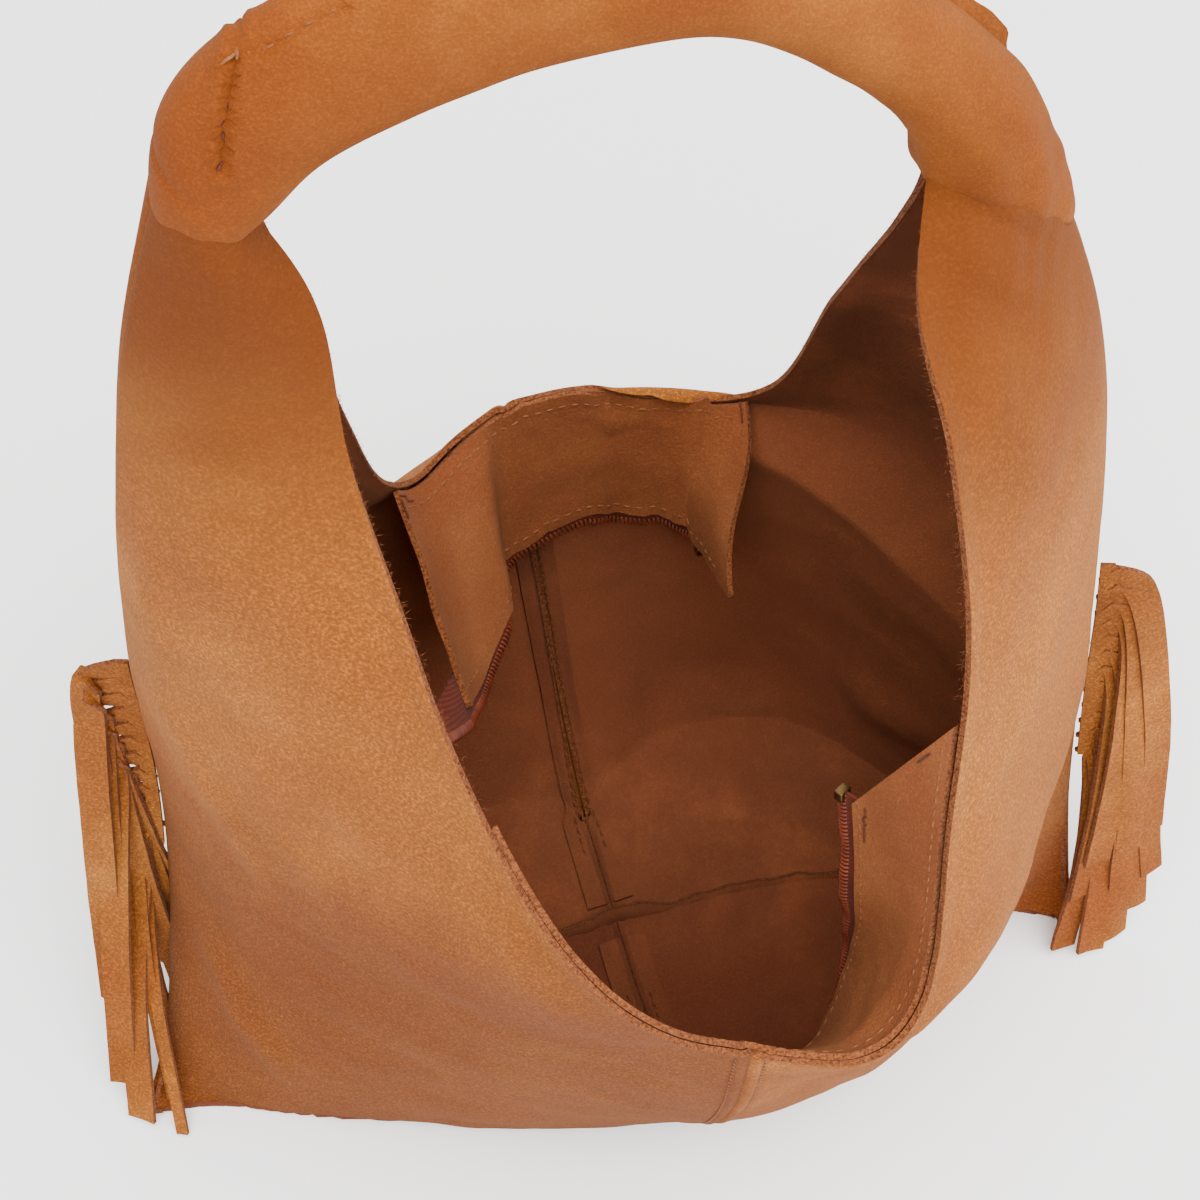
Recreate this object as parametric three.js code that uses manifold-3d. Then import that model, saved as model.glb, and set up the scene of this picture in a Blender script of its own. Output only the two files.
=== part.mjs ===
// Fringed suede shoulder bag, standing with its handle raised and its zipped mouth open.
// Millimetres, +Z up. The origin is on the floor, under the middle of the bag's box.
import * as THREE from 'three';
import { mergeVertices } from 'three/addons/utils/BufferGeometryUtils.js';
import Module from 'manifold-3d';

const wasm = await Module();
wasm.setup();

// Driving dimensions of the body
const HALF_WIDTH = 150;
const MOUTH_REACH = 100;
const RIM_HEIGHT = 178;
const LEG_RISE = 217;
const HANDLE_DIAMETER = 22.5;
const HANDLE_FLARE = 13;
const SUEDE = 1.6;
const BELLY = { front_left: 24, front_right: 31, back_left: 10, back_right: 33 };
const FLOOR_SAG = 24;
const GAP = 0.3;

// Driving dimensions of the zip and its facings
const FACING_DEPTH = 54;
const TAPE_WIDTH = 13;
const TAPE_THICKNESS = 0.8;
const TAPE_LAP = 10.5;
const COIL_DIAMETER = 2.6;
const STOP_LENGTH = 3;
const STOP_HEIGHT = 1.2;
const SLIDER_LENGTH = 11;
const SLIDER_WIDTH = 9.2;
const SLIDER_PLATE = 1.6;
const SLIDER_WEB = 2;
const TAPE_CLEARANCE = 0.4;
const TAPE_SEAT = 0.8;
const TAPE_TAIL = 14;
const PULL_LENGTH = 21;
const PULL_WIDTH = 4.4;
const PULL_THICKNESS = 1.5;
const BAR_DIAMETER = 1.4;
const BAR_CLEARANCE = 0.4;
const LUG_WIDTH = 1.2;

// Driving dimensions of the fringe
const STRIP_COUNT = 12;
const STRIP_WIDTH = 7;
const STRIP_THICKNESS = 1.4;
const STRIP_LENGTH = 140;
const STRIP_PITCH = 8.5;
const STRIP_STEP = 1.5;
const STRIP_REACH = 3;
const STRIP_FAN = 7;
const FAN_TURN = 2.4;
const FRINGE_FOOT = 98;
const BAND_WIDTH = 4;

// How finely the soft pieces are divided
const COLUMNS = 12;
const RIM_ROW = 8;
const ROWS = 28;
const HANDLE_STEPS = 26;
const HANDLE_SIDES = 14;
const COIL_SIDES = 8;
const STRIP_STEPS = 7;
const FACING_ROWS = 3;

const HANDLE_RADIUS = HANDLE_DIAMETER / 2;
const ROLL_RADIUS = HANDLE_RADIUS - SUEDE / 2;
const UP = new THREE.Vector3(0, 0, 1);

// Materials
const suede = (color) => new THREE.MeshStandardMaterial({ color, roughness: 0.95, metalness: 0 });
const outerSuede = () => suede(0xbe7d41);
const facingSuede = () => suede(0xa8652f);
const tapeCloth = () => new THREE.MeshStandardMaterial({ color: 0x8a4128, roughness: 0.9, metalness: 0 });
const coilNylon = () => new THREE.MeshStandardMaterial({ color: 0x9a4f33, roughness: 0.45, metalness: 0 });
const zipMetal = () => new THREE.MeshStandardMaterial({ color: 0x8c7a5c, roughness: 0.35, metalness: 0.9 });

// Heights run from 0 at the floor through 1 at the front rim to 2 at the handle's left end.
function level(v) {
  const below = Math.min(v, 1) * RIM_HEIGHT;
  const above = Math.max(v - 1, 0) * LEG_RISE;
  return SUEDE / 2 + below + above;
}

// A place on the bag: x and y as shares of the half width and the mouth's reach, v as above.
function spot([x, y, v]) {
  return new THREE.Vector3(x * HALF_WIDTH, y * MOUTH_REACH, level(v));
}

const curve = (points) => new THREE.CatmullRomCurve3(points);

// Outlines of the body: the seams, the mouth's edges and the handle's middle line
const BOTTOM_CENTRE = [0, 0, 0];
const CORNER = { left: [-1, -0.18, 0.03], right: [0.95, -0.4, 0.03] };
const BOTTOM_SEAM = {
  left: [[-0.5, -0.05, 0]],
  right: [[0.5, -0.06, 0]],
};
const SIDE_SEAM = {
  left: [
    [-0.92, -0.02, 0.13], [-0.82, 0.24, 0.4], [-0.79, 0.34, 0.75], [-0.78, 0.37, 1.1],
    [-0.76, 0.32, 1.3], [-0.71, 0.25, 1.57], [-0.63, 0.24, 1.85],
  ],
  right: [
    [0.935, -0.32, 0.16], [0.91, -0.22, 0.42], [0.885, -0.13, 0.72], [0.85, -0.05, 1.08],
    [0.78, 0.06, 1.48], [0.72, 0.13, 1.66],
  ],
};
const CENTRE_SEAM = {
  front: [[0, -0.22, 0], [0.01, -0.45, 0], [0.02, -0.68, 0.09], [0.03, -0.83, 0.3], [0.035, -0.95, 0.65]],
  back: [[0, 0.14, 0], [0, 0.36, 0], [0, 0.7, 0.19], [-0.003, 0.92, 0.5], [-0.018, 0.99, 0.75]],
};
const RIM_CENTRE = { front: [0.033, -0.99, 1], back: [-0.033, 1, 0.97] };
const MOUTH_EDGE = {
  front_left: [
    [-0.12, -0.92, 1.11], [-0.2, -0.82, 1.18], [-0.27, -0.64, 1.28], [-0.33, -0.4, 1.45],
    [-0.36, -0.18, 1.6], [-0.385, 0.02, 1.74], [-0.39, 0.15, 1.91],
  ],
  front_right: [
    [0.13, -1.02, 0.98], [0.25, -1.03, 0.98], [0.31, -0.98, 1.01], [0.345, -0.91, 1.07],
    [0.37, -0.74, 1.26], [0.41, -0.52, 1.49], [0.385, -0.3, 1.73], [0.39, -0.06, 1.79],
  ],
  back_left: [
    [-0.13, 0.92, 0.98], [-0.23, 0.8, 1], [-0.29, 0.72, 1.07], [-0.35, 0.58, 1.36], [-0.39, 0.42, 1.7],
  ],
  back_right: [
    [0.11, 1.01, 0.95], [0.25, 0.98, 0.9], [0.38, 0.94, 0.87], [0.47, 0.88, 0.93],
    [0.52, 0.72, 1.25], [0.53, 0.48, 1.56], [0.51, 0.34, 1.73],
  ],
};
const HANDLE_LINE = [
  [-0.48, 0.26, 2], [-0.35, 0.26, 2.097], [-0.07, 0.26, 2.16], [0.17, 0.26, 2.147],
  [0.4, 0.24, 2.02], [0.52, 0.21, 1.92], [0.555, 0.19, 1.83],
];

// A closed sheet between two like grids of points, given as rows from one edge to the other
function sheetBetween(outer, inner) {
  const rows = outer.length;
  const columns = outer[0].length;
  const positions = [...outer.flat(), ...inner.flat()].flatMap((p) => p.toArray());
  const index = [];
  const quad = (a, b, c, d) => index.push(a, b, c, a, c, d);
  const out = (row, column) => row * columns + column;
  const back = (row, column) => rows * columns + out(row, column);
  for (let row = 0; row < rows - 1; row += 1) {
    for (let column = 0; column < columns - 1; column += 1) {
      quad(out(row, column), out(row, column + 1), out(row + 1, column + 1), out(row + 1, column));
      quad(back(row, column), back(row + 1, column), back(row + 1, column + 1), back(row, column + 1));
    }
    quad(out(row, 0), out(row + 1, 0), back(row + 1, 0), back(row, 0));
    const last = columns - 1;
    quad(out(row + 1, last), out(row, last), back(row, last), back(row + 1, last));
  }
  for (let column = 0; column < columns - 1; column += 1) {
    quad(out(0, column + 1), out(0, column), back(0, column), back(0, column + 1));
    const last = rows - 1;
    quad(out(last, column), out(last, column + 1), back(last, column + 1), back(last, column));
  }
  const geometry = new THREE.BufferGeometry();
  geometry.setAttribute('position', new THREE.Float32BufferAttribute(positions, 3));
  geometry.setIndex(index);
  geometry.computeVertexNormals();
  return geometry;
}

// Unit normals of a grid, on the side from which its rows run anticlockwise
function gridNormals(grid) {
  const rows = grid.length;
  const columns = grid[0].length;
  const step = (from, to) => new THREE.Vector3().subVectors(to, from);
  return grid.map((line, row) => line.map((point, column) => {
    const along = step(line[Math.max(column - 1, 0)], line[Math.min(column + 1, columns - 1)]);
    const across = step(grid[Math.max(row - 1, 0)][column], grid[Math.min(row + 1, rows - 1)][column]);
    return along.cross(across).normalize();
  }));
}

const shifted = (grid, normals, distance) => grid.map((line, row) => line.map(
  (point, column) => point.clone().addScaledVector(normals[row][column], distance),
));

// A sheet of one thickness about a grid of middle points
function sheet(grid, thickness, normals = gridNormals(grid)) {
  return sheetBetween(shifted(grid, normals, thickness / 2), shifted(grid, normals, -thickness / 2));
}

// A closed tube through like rings of points, with a flat end at each side
function tube(rings) {
  const sides = rings[0].length;
  const positions = rings.flat().flatMap((p) => p.toArray());
  const index = [];
  const at = (ring, side) => ring * sides + (side % sides);
  for (let ring = 0; ring < rings.length - 1; ring += 1) {
    for (let side = 0; side < sides; side += 1) {
      index.push(at(ring, side), at(ring, side + 1), at(ring + 1, side + 1));
      index.push(at(ring, side), at(ring + 1, side + 1), at(ring + 1, side));
    }
  }
  const last = rings.length - 1;
  for (let side = 1; side < sides - 1; side += 1) {
    index.push(at(0, 0), at(0, side + 1), at(0, side));
    index.push(at(last, 0), at(last, side), at(last, side + 1));
  }
  const geometry = new THREE.BufferGeometry();
  geometry.setAttribute('position', new THREE.Float32BufferAttribute(positions, 3));
  geometry.setIndex(index);
  geometry.computeVertexNormals();
  return geometry;
}

// Solids that are joined or cut
function solid(geometry) {
  const bare = geometry.clone();
  bare.deleteAttribute('normal');
  bare.deleteAttribute('uv');
  const merged = mergeVertices(bare);
  return new wasm.Manifold(new wasm.Mesh({
    numProp: 3,
    vertProperties: merged.getAttribute('position').array,
    triVerts: Uint32Array.from(merged.getIndex().array),
  }));
}

function geometryOf(body) {
  const { vertProperties, triVerts } = body.getMesh();
  const geometry = new THREE.BufferGeometry();
  geometry.setAttribute('position', new THREE.Float32BufferAttribute(vertProperties, 3));
  geometry.setIndex([...triVerts]);
  geometry.computeVertexNormals();
  return geometry;
}

const joined = (geometries) => geometryOf(geometries.map(solid).reduce((all, one) => all.add(one)));

// Handle: a rolled tube, and the arcs on which the four panel legs meet its ends
const handleLine = curve(HANDLE_LINE.map(spot));

function handleEnd(side) {
  const centre = handleLine.getPointAt(side === 'left' ? 0 : 1);
  const inwards = handleLine.getTangentAt(side === 'left' ? 0 : 1);
  if (side === 'right') inwards.negate();
  const outwards = new THREE.Vector3(side === 'left' ? -1 : 1, 0, 0);
  outwards.addScaledVector(inwards, -outwards.dot(inwards)).normalize();
  const backwards = new THREE.Vector3(0, 1, 0);
  backwards.addScaledVector(inwards, -backwards.dot(inwards));
  backwards.addScaledVector(outwards, -backwards.dot(outwards)).normalize();
  centre.addScaledVector(inwards, -GAP);
  return { centre, outwards, backwards, inwards };
}

// The leg's top edge runs round half of the handle's end, from the side seam to the mouth.
const LEG_ARC = THREE.MathUtils.degToRad(168);
function legArc(side, face) {
  const { centre, outwards, backwards } = handleEnd(side);
  const turn = face === 'front' ? -1 : 1;
  return (s) => centre.clone()
    .addScaledVector(outwards, ROLL_RADIUS * Math.cos(s * LEG_ARC))
    .addScaledVector(backwards, turn * ROLL_RADIUS * Math.sin(s * LEG_ARC));
}

// The handle is fuller on its outer side near the left end, where it is gathered.
const FLARE_SPAN = 0.6;
const FLARE_SKEW = 0.6;
const flareAt = (u) => HANDLE_FLARE * Math.sin(Math.PI * Math.min(u / FLARE_SPAN, 1) ** FLARE_SKEW);

function handleGeometry() {
  const sideways = new THREE.Vector3(0, 1, 0);
  const rings = Array.from({ length: HANDLE_STEPS + 1 }, (_, step) => {
    const u = step / HANDLE_STEPS;
    const centre = handleLine.getPointAt(u);
    const tangent = handleLine.getTangentAt(u);
    const out = new THREE.Vector3().crossVectors(tangent, sideways).normalize();
    const aside = new THREE.Vector3().crossVectors(tangent, out);
    return Array.from({ length: HANDLE_SIDES }, (__, side) => {
      const angle = (2 * Math.PI * side) / HANDLE_SIDES;
      const reach = HANDLE_RADIUS + (Math.cos(angle) > 0 ? flareAt(u) : 0);
      return centre.clone()
        .addScaledVector(out, reach * Math.cos(angle))
        .addScaledVector(aside, HANDLE_RADIUS * Math.sin(angle));
    });
  });
  return tube(rings);
}

// Body panels: each is spanned by its bottom seam, side seam, leg arc, and centre seam with mouth edge
function panelGrid(face, side) {
  const arc = legArc(side, face);
  const sideSeam = curve([spot(CORNER[side]), ...SIDE_SEAM[side].map(spot), arc(0)]);
  const bottomSeam = curve([
    spot(CORNER[side]), ...BOTTOM_SEAM[side].map(spot), spot(BOTTOM_CENTRE),
  ]);
  const rimCentre = spot(RIM_CENTRE[face]);
  const centreSeam = curve([spot(BOTTOM_CENTRE), ...CENTRE_SEAM[face].map(spot), rimCentre]);
  const mouthEdge = curve([rimCentre, ...MOUTH_EDGE[`${face}_${side}`].map(spot), arc(1)]);
  const inner = (row) => (row <= RIM_ROW
    ? centreSeam.getPointAt(row / RIM_ROW)
    : mouthEdge.getPointAt((row - RIM_ROW) / (ROWS - RIM_ROW)));
  const corner = spot(CORNER[side]);
  const centre = spot(BOTTOM_CENTRE);
  const place = (s, t, row) => new THREE.Vector3()
    .addScaledVector(sideSeam.getPointAt(t), 1 - s)
    .addScaledVector(inner(row), s)
    .addScaledVector(bottomSeam.getPointAt(s), 1 - t)
    .addScaledVector(arc(s), t)
    .addScaledVector(corner, -(1 - s) * (1 - t))
    .addScaledVector(centre, -s * (1 - t))
    .addScaledVector(arc(0), -(1 - s) * t)
    .addScaledVector(arc(1), -s * t);
  const span = Array.from({ length: ROWS + 1 }, (_, row) => Array.from(
    { length: COLUMNS + 1 }, (__, column) => place(column / COLUMNS, row / ROWS, row),
  ));
  return (face === 'front') === (side === 'left') ? span : span.map((line) => line.reverse());
}

// The suede swells outwards and sags between its seams, most of all low down, and lies flat on
// the floor. Where aside is under 1 the fullest place is nearer the side seam, over 1 nearer the mouth.
const SWELL_LOW = 0.4;
const SWELL_FADE = 1.5;
const SAG_ROWS = 7;
const SWELL = {
  front_left: { aside: 0.75, way: [-0.4, -0.9, -0.3] },
  front_right: { aside: 1.6, way: [0.4, -0.9, -0.3] },
  back_left: { aside: 1, way: [-0.4, 0.9, -0.3] },
  back_right: { aside: 1.2, way: [0.4, 0.9, -0.3] },
};
const onFloor = (point) => point.setZ(Math.max(point.z, SUEDE / 2));

function swollen(grid, name, sideColumn) {
  const { aside, way } = SWELL[name];
  const outwards = new THREE.Vector3(...way).normalize();
  return grid.map((line, row) => line.map((point, column) => {
    const s = Math.abs(column - sideColumn) / COLUMNS;
    const rise = Math.max(Math.sin(Math.PI * (row / ROWS) ** SWELL_LOW), 0) ** SWELL_FADE;
    const swell = BELLY[name] * Math.sin(Math.PI * s ** aside) * rise;
    const sag = FLOOR_SAG * Math.sqrt(Math.max(Math.sin(Math.PI * s), 0)) * Math.max(1 - row / SAG_ROWS, 0);
    return onFloor(point.clone().addScaledVector(outwards, swell).addScaledVector(UP, -sag));
  }));
}

const FACES = ['front', 'back'];
const SIDES = ['left', 'right'];
const sideColumnOf = (face, side) => ((face === 'front') === (side === 'left') ? 0 : COLUMNS);
const panels = {};
FACES.forEach((face) => SIDES.forEach((side) => {
  const grid = swollen(panelGrid(face, side), `${face}_${side}`, sideColumnOf(face, side));
  const normals = gridNormals(grid);
  const { inwards } = handleEnd(side);
  normals[ROWS].forEach((normal) => normal.addScaledVector(inwards, -normal.dot(inwards)).normalize());
  panels[`${face}_${side}`] = { grid, normals };
}));

// Where panels share a seam point they also share its normal, so that their edges are mitred.
const keyOf = (point) => point.toArray().map((value) => value.toFixed(3)).join(' ');
function shareSeamNormals() {
  const sums = new Map();
  const visit = (action) => Object.values(panels).forEach(({ grid, normals }) => grid.forEach(
    (line, row) => line.forEach((point, column) => action(keyOf(point), normals[row][column])),
  ));
  visit((key, normal) => sums.set(key, (sums.get(key) ?? new THREE.Vector3()).add(normal)));
  visit((key, normal) => normal.copy(sums.get(key)).normalize());
}
shareSeamNormals();

// A panel's seam edges stand back by half the gap, square to the seam and to its normal.
function seamGapped({ grid, normals }, sideColumn) {
  const centreColumn = COLUMNS - sideColumn;
  const retreat = (row, column, towards, along) => {
    const into = new THREE.Vector3().subVectors(towards, grid[row][column]);
    into.addScaledVector(normals[row][column], -into.dot(normals[row][column]));
    along.normalize();
    return into.addScaledVector(along, -into.dot(along)).normalize();
  };
  return grid.map((line, row) => line.map((point, column) => {
    const moved = point.clone();
    const above = grid[Math.min(row + 1, ROWS)][column];
    const below = grid[Math.max(row - 1, 0)][column];
    const atCentreSeam = column === centreColumn && row <= RIM_ROW;
    if (column === sideColumn || atCentreSeam) {
      const inner = line[column === 0 ? 1 : COLUMNS - 1];
      const top = atCentreSeam && row === RIM_ROW ? point : above;
      const along = new THREE.Vector3().subVectors(top, below);
      moved.addScaledVector(retreat(row, column, inner, along), GAP / 2);
    }
    if (row === 0) {
      const before = line[Math.max(column - 1, 0)];
      const after = line[Math.min(column + 1, COLUMNS)];
      const along = new THREE.Vector3().subVectors(after, before);
      moved.addScaledVector(retreat(row, column, above, along), GAP / 2);
    }
    return onFloor(moved);
  }));
}

// The mouth's edge of one face from its left end to its right, as points and outward normals
function rimOf(face, leftRows, rightRows) {
  const take = (side, row) => {
    const { grid, normals } = panels[`${face}_${side}`];
    const column = COLUMNS - sideColumnOf(face, side);
    return { point: grid[row][column], normal: normals[row][column] };
  };
  const left = Array.from({ length: leftRows }, (_, i) => take('left', RIM_ROW + leftRows - i));
  const right = Array.from({ length: rightRows + 1 }, (_, i) => take('right', RIM_ROW + i));
  return [...left, ...right];
}

// Zip facings: strips that hang inside from the rims, with the way each part of them hangs
const FACINGS = {
  front: {
    leftRows: 8,
    rightRows: 10,
    hang: [
      [-0.09, 0.25, -0.96], [-0.12, 0.3, -0.94], [0, 0.24, -0.97], [-0.13, 0.3, -0.94],
      [-0.19, 0.19, -0.96], [-0.31, 0.12, -0.94],
    ],
  },
  back: {
    leftRows: 4,
    rightRows: 5,
    hang: [
      [0.02, -0.92, -0.39], [-0.03, -0.6, -0.8], [0.07, -0.18, -0.98], [-0.08, -0.28, -0.96],
      [-0.22, -0.56, -0.8], [-0.29, -0.75, -0.6],
    ],
  },
};

function facingFrame(face) {
  const { leftRows, rightRows, hang } = FACINGS[face];
  const rim = rimOf(face, leftRows, rightRows);
  const tops = rim.map(({ point, normal }) => point.clone().addScaledVector(normal, -(SUEDE + GAP)));
  const hangLine = curve(hang.map((direction) => new THREE.Vector3(...direction)));
  return Array.from({ length: 2 * tops.length - 1 }, (_, i) => ({
    top: tops[Math.floor(i / 2)].clone().lerp(tops[Math.ceil(i / 2)], 0.5),
    hang: hangLine.getPoint(i / (2 * tops.length - 2)).normalize(),
  }));
}

// Rows across a hanging strip, from one depth below the rim to another
function hangingGrid(frame, from, to, rows) {
  return Array.from({ length: rows + 1 }, (_, row) => frame.map(
    ({ top, hang }) => top.clone().addScaledVector(hang, from + (to - from) * (row / rows)),
  ));
}

const facingFrames = { front: facingFrame('front'), back: facingFrame('back') };
const facingGeometry = (face) => sheet(
  hangingGrid(facingFrames[face], 0, FACING_DEPTH, FACING_ROWS), SUEDE,
);

// Zip: both tapes run on past the facings' left ends and meet in the slider.
const SLIDER_SPOT = [-0.46, -0.06, 1.11];
const SLIDER_ALONG = new THREE.Vector3(0.98, -0.13, -0.14).normalize();
const SLIDER_ACROSS = new THREE.Vector3(0.17, 0.65, -0.74);
SLIDER_ACROSS.addScaledVector(SLIDER_ALONG, -SLIDER_ACROSS.dot(SLIDER_ALONG)).normalize();
const SLIDER_NORMAL = new THREE.Vector3().crossVectors(SLIDER_ALONG, SLIDER_ACROSS);
const sliderOrigin = spot(SLIDER_SPOT);
const inSlider = (along, across, normal) => sliderOrigin.clone()
  .addScaledVector(SLIDER_ALONG, along)
  .addScaledVector(SLIDER_ACROSS, across)
  .addScaledVector(SLIDER_NORMAL, normal);
const TAPE_EDGE = SLIDER_WEB / 2 + TAPE_CLEARANCE;
const TAPE_LEAD = 4;

// Points along a tape's coil edge and its sewn edge, from its tail in the slider to its right end
function tapeEdges(face) {
  const turn = face === 'front' ? -1 : 1;
  const frame = facingFrames[face];
  const wallSide = gridNormals(hangingGrid(frame, FACING_DEPTH - TAPE_LAP, FACING_DEPTH, 1))[0];
  const away = face === 'front' ? 1 : -1;
  const offset = away * (SUEDE / 2 + TAPE_SEAT + TAPE_THICKNESS / 2);
  const atDepth = (depth) => frame.map(({ top, hang }, i) => top.clone()
    .addScaledVector(hang, depth)
    .addScaledVector(wallSide[i], offset));
  const through = [-TAPE_TAIL, 0, SLIDER_LENGTH, SLIDER_LENGTH + TAPE_LEAD];
  const spread = [TAPE_EDGE, TAPE_EDGE, TAPE_EDGE, COIL_DIAMETER + 2 * GAP];
  const inside = (width) => through.map((along, i) => inSlider(along, turn * (spread[i] + width), 0));
  return {
    coil: [...inside(0), ...atDepth(FACING_DEPTH - TAPE_LAP + TAPE_WIDTH)],
    sewn: [...inside(TAPE_WIDTH), ...atDepth(FACING_DEPTH - TAPE_LAP)],
  };
}

const tapes = { front: tapeEdges('front'), back: tapeEdges('back') };

// The free stretch between slider and facing is divided further, so that it turns smoothly.
const FREE_START = 3;
const FREE_STEPS = 8;
function tapeGrid(face) {
  const { coil, sewn } = tapes[face];
  const divided = (points) => {
    const line = curve(points);
    const between = Array.from({ length: FREE_STEPS - 1 }, (_, k) => line.getPoint(
      (FREE_START + (k + 1) / FREE_STEPS) / (points.length - 1),
    ));
    return [...points.slice(0, FREE_START + 1), ...between, ...points.slice(FREE_START + 1)];
  };
  return face === 'front' ? [divided(sewn), divided(coil)] : [divided(coil), divided(sewn)];
}

const tapeGeometry = (face) => sheet(tapeGrid(face), TAPE_THICKNESS);

// Coil: a bead along the tape's edge, from just outside the slider to the facing's right end
function coilFrame(face) {
  const grid = tapeGrid(face);
  const [edge, other] = face === 'front' ? [grid[1], grid[0]] : grid;
  const away = edge.map((point, i) => new THREE.Vector3().subVectors(point, other[i]).normalize());
  const line = edge.map((point, i) => point.clone().addScaledVector(away[i], COIL_DIAMETER / 2 + GAP));
  return line.map((centre, i) => {
    const next = line[Math.min(i + 1, line.length - 1)];
    const along = new THREE.Vector3().subVectors(next, line[Math.max(i - 1, 0)]);
    const side = new THREE.Vector3().crossVectors(along, away[i]).normalize();
    return { centre, away: away[i], side };
  }).slice(FREE_START);
}

const coilFrames = { front: coilFrame('front'), back: coilFrame('back') };

function coilGeometry(face) {
  return tube(coilFrames[face].map(({ centre, away, side }) => Array.from({ length: COIL_SIDES }, (_, i) => {
    const angle = (2 * Math.PI * i) / COIL_SIDES;
    return centre.clone()
      .addScaledVector(away, (COIL_DIAMETER / 2) * Math.cos(angle))
      .addScaledVector(side, (COIL_DIAMETER / 2) * Math.sin(angle));
  })));
}

// Top stop: a small clip past the right end of a coil
function topStop(face) {
  const { centre, away, side } = coilFrames[face].at(-1);
  const along = new THREE.Vector3().crossVectors(away, side);
  const stop = new THREE.Mesh(
    new THREE.BoxGeometry(COIL_DIAMETER, COIL_DIAMETER + STOP_HEIGHT, STOP_LENGTH), zipMetal(),
  );
  stop.position.copy(centre).addScaledVector(along, STOP_LENGTH / 2 + GAP);
  stop.quaternion.setFromRotationMatrix(new THREE.Matrix4().makeBasis(away, side, along));
  return stop;
}

// Slider, its pull and the bottom stop share a frame: x along the zip, y across it, z off its face.
const sliderFrame = new THREE.Group();
sliderFrame.position.copy(sliderOrigin);
sliderFrame.quaternion.setFromRotationMatrix(
  new THREE.Matrix4().makeBasis(SLIDER_ALONG, SLIDER_ACROSS, SLIDER_NORMAL),
);
const SLOT = TAPE_THICKNESS / 2 + TAPE_CLEARANCE;
const SLIDER_TOP = SLOT + SLIDER_PLATE;
const EYE_RADIUS = BAR_DIAMETER / 2 + BAR_CLEARANCE + PULL_THICKNESS / 2;
const BAR_HEIGHT = SLIDER_TOP + GAP + EYE_RADIUS;
const BAR_ALONG = SLIDER_LENGTH / 2;
const LUG_INNER = PULL_WIDTH / 2 + GAP;

function box(length, width, height, x, y, z) {
  return new THREE.BoxGeometry(length, width, height).translate(x, y, z);
}

function sliderGeometry() {
  const middle = SLIDER_LENGTH / 2;
  const plates = [-1, 1].map((turn) => box(
    SLIDER_LENGTH, SLIDER_WIDTH, SLIDER_PLATE, middle, 0, turn * (SLOT + SLIDER_PLATE / 2),
  ));
  const web = box(SLIDER_LENGTH, SLIDER_WEB, 2 * SLIDER_TOP - SLIDER_PLATE, middle, 0, 0);
  const lugHeight = BAR_HEIGHT + BAR_DIAMETER - SLIDER_TOP + SLIDER_PLATE / 2;
  const lugs = [-1, 1].map((turn) => box(
    2 * EYE_RADIUS, LUG_WIDTH, lugHeight,
    BAR_ALONG, turn * (LUG_INNER + LUG_WIDTH / 2), BAR_HEIGHT + BAR_DIAMETER - lugHeight / 2,
  ));
  const barLength = 2 * LUG_INNER + LUG_WIDTH;
  const bar = new THREE.CylinderGeometry(BAR_DIAMETER / 2, BAR_DIAMETER / 2, barLength, COIL_SIDES);
  bar.translate(BAR_ALONG, 0, BAR_HEIGHT);
  return joined([...plates, web, ...lugs, bar]);
}

// Pull: an eye round the bar and a flat tail that lies back over the closed end of the zip
function pullGeometry() {
  const half = PULL_THICKNESS / 2;
  const eyeTurn = Math.asin(half / EYE_RADIUS);
  const outline = new THREE.Shape();
  outline.absarc(0, 0, EYE_RADIUS, Math.PI + eyeTurn, 3 * Math.PI - eyeTurn, false);
  outline.lineTo(-PULL_LENGTH, half);
  outline.lineTo(-PULL_LENGTH, -half);
  outline.closePath();
  const eyeHole = new THREE.Path();
  eyeHole.absarc(0, 0, BAR_DIAMETER / 2 + BAR_CLEARANCE, 0, 2 * Math.PI, true);
  outline.holes.push(eyeHole);
  const geometry = new THREE.ExtrudeGeometry(outline, { depth: PULL_WIDTH, bevelEnabled: false });
  return geometry.translate(0, 0, -PULL_WIDTH / 2).rotateX(Math.PI / 2).translate(BAR_ALONG, 0, BAR_HEIGHT);
}

function bottomStopGeometry() {
  const lift = TAPE_THICKNESS / 2 + GAP + STOP_HEIGHT / 2;
  return box(STOP_LENGTH, SLIDER_WIDTH, STOP_HEIGHT, -STOP_LENGTH, 0, -lift);
}

// Fringe: a band sewn along the side seam, cut into strips that droop and hang over each other
const FRINGE_OUT = {
  left: new THREE.Vector3(-0.95, 0.3, 0).normalize(),
  right: new THREE.Vector3(0.95, -0.31, 0).normalize(),
};
const SEAM_FOLLOW = 0.6;
const FRINGE_CLEARANCE = SUEDE / 2 + 2 * GAP;
const BEND_DROPS = [0.15, 0.8];
const BEND_REACH = 0.7;
const FALL_SHARES = [0.5, 0.8, 1];

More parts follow.
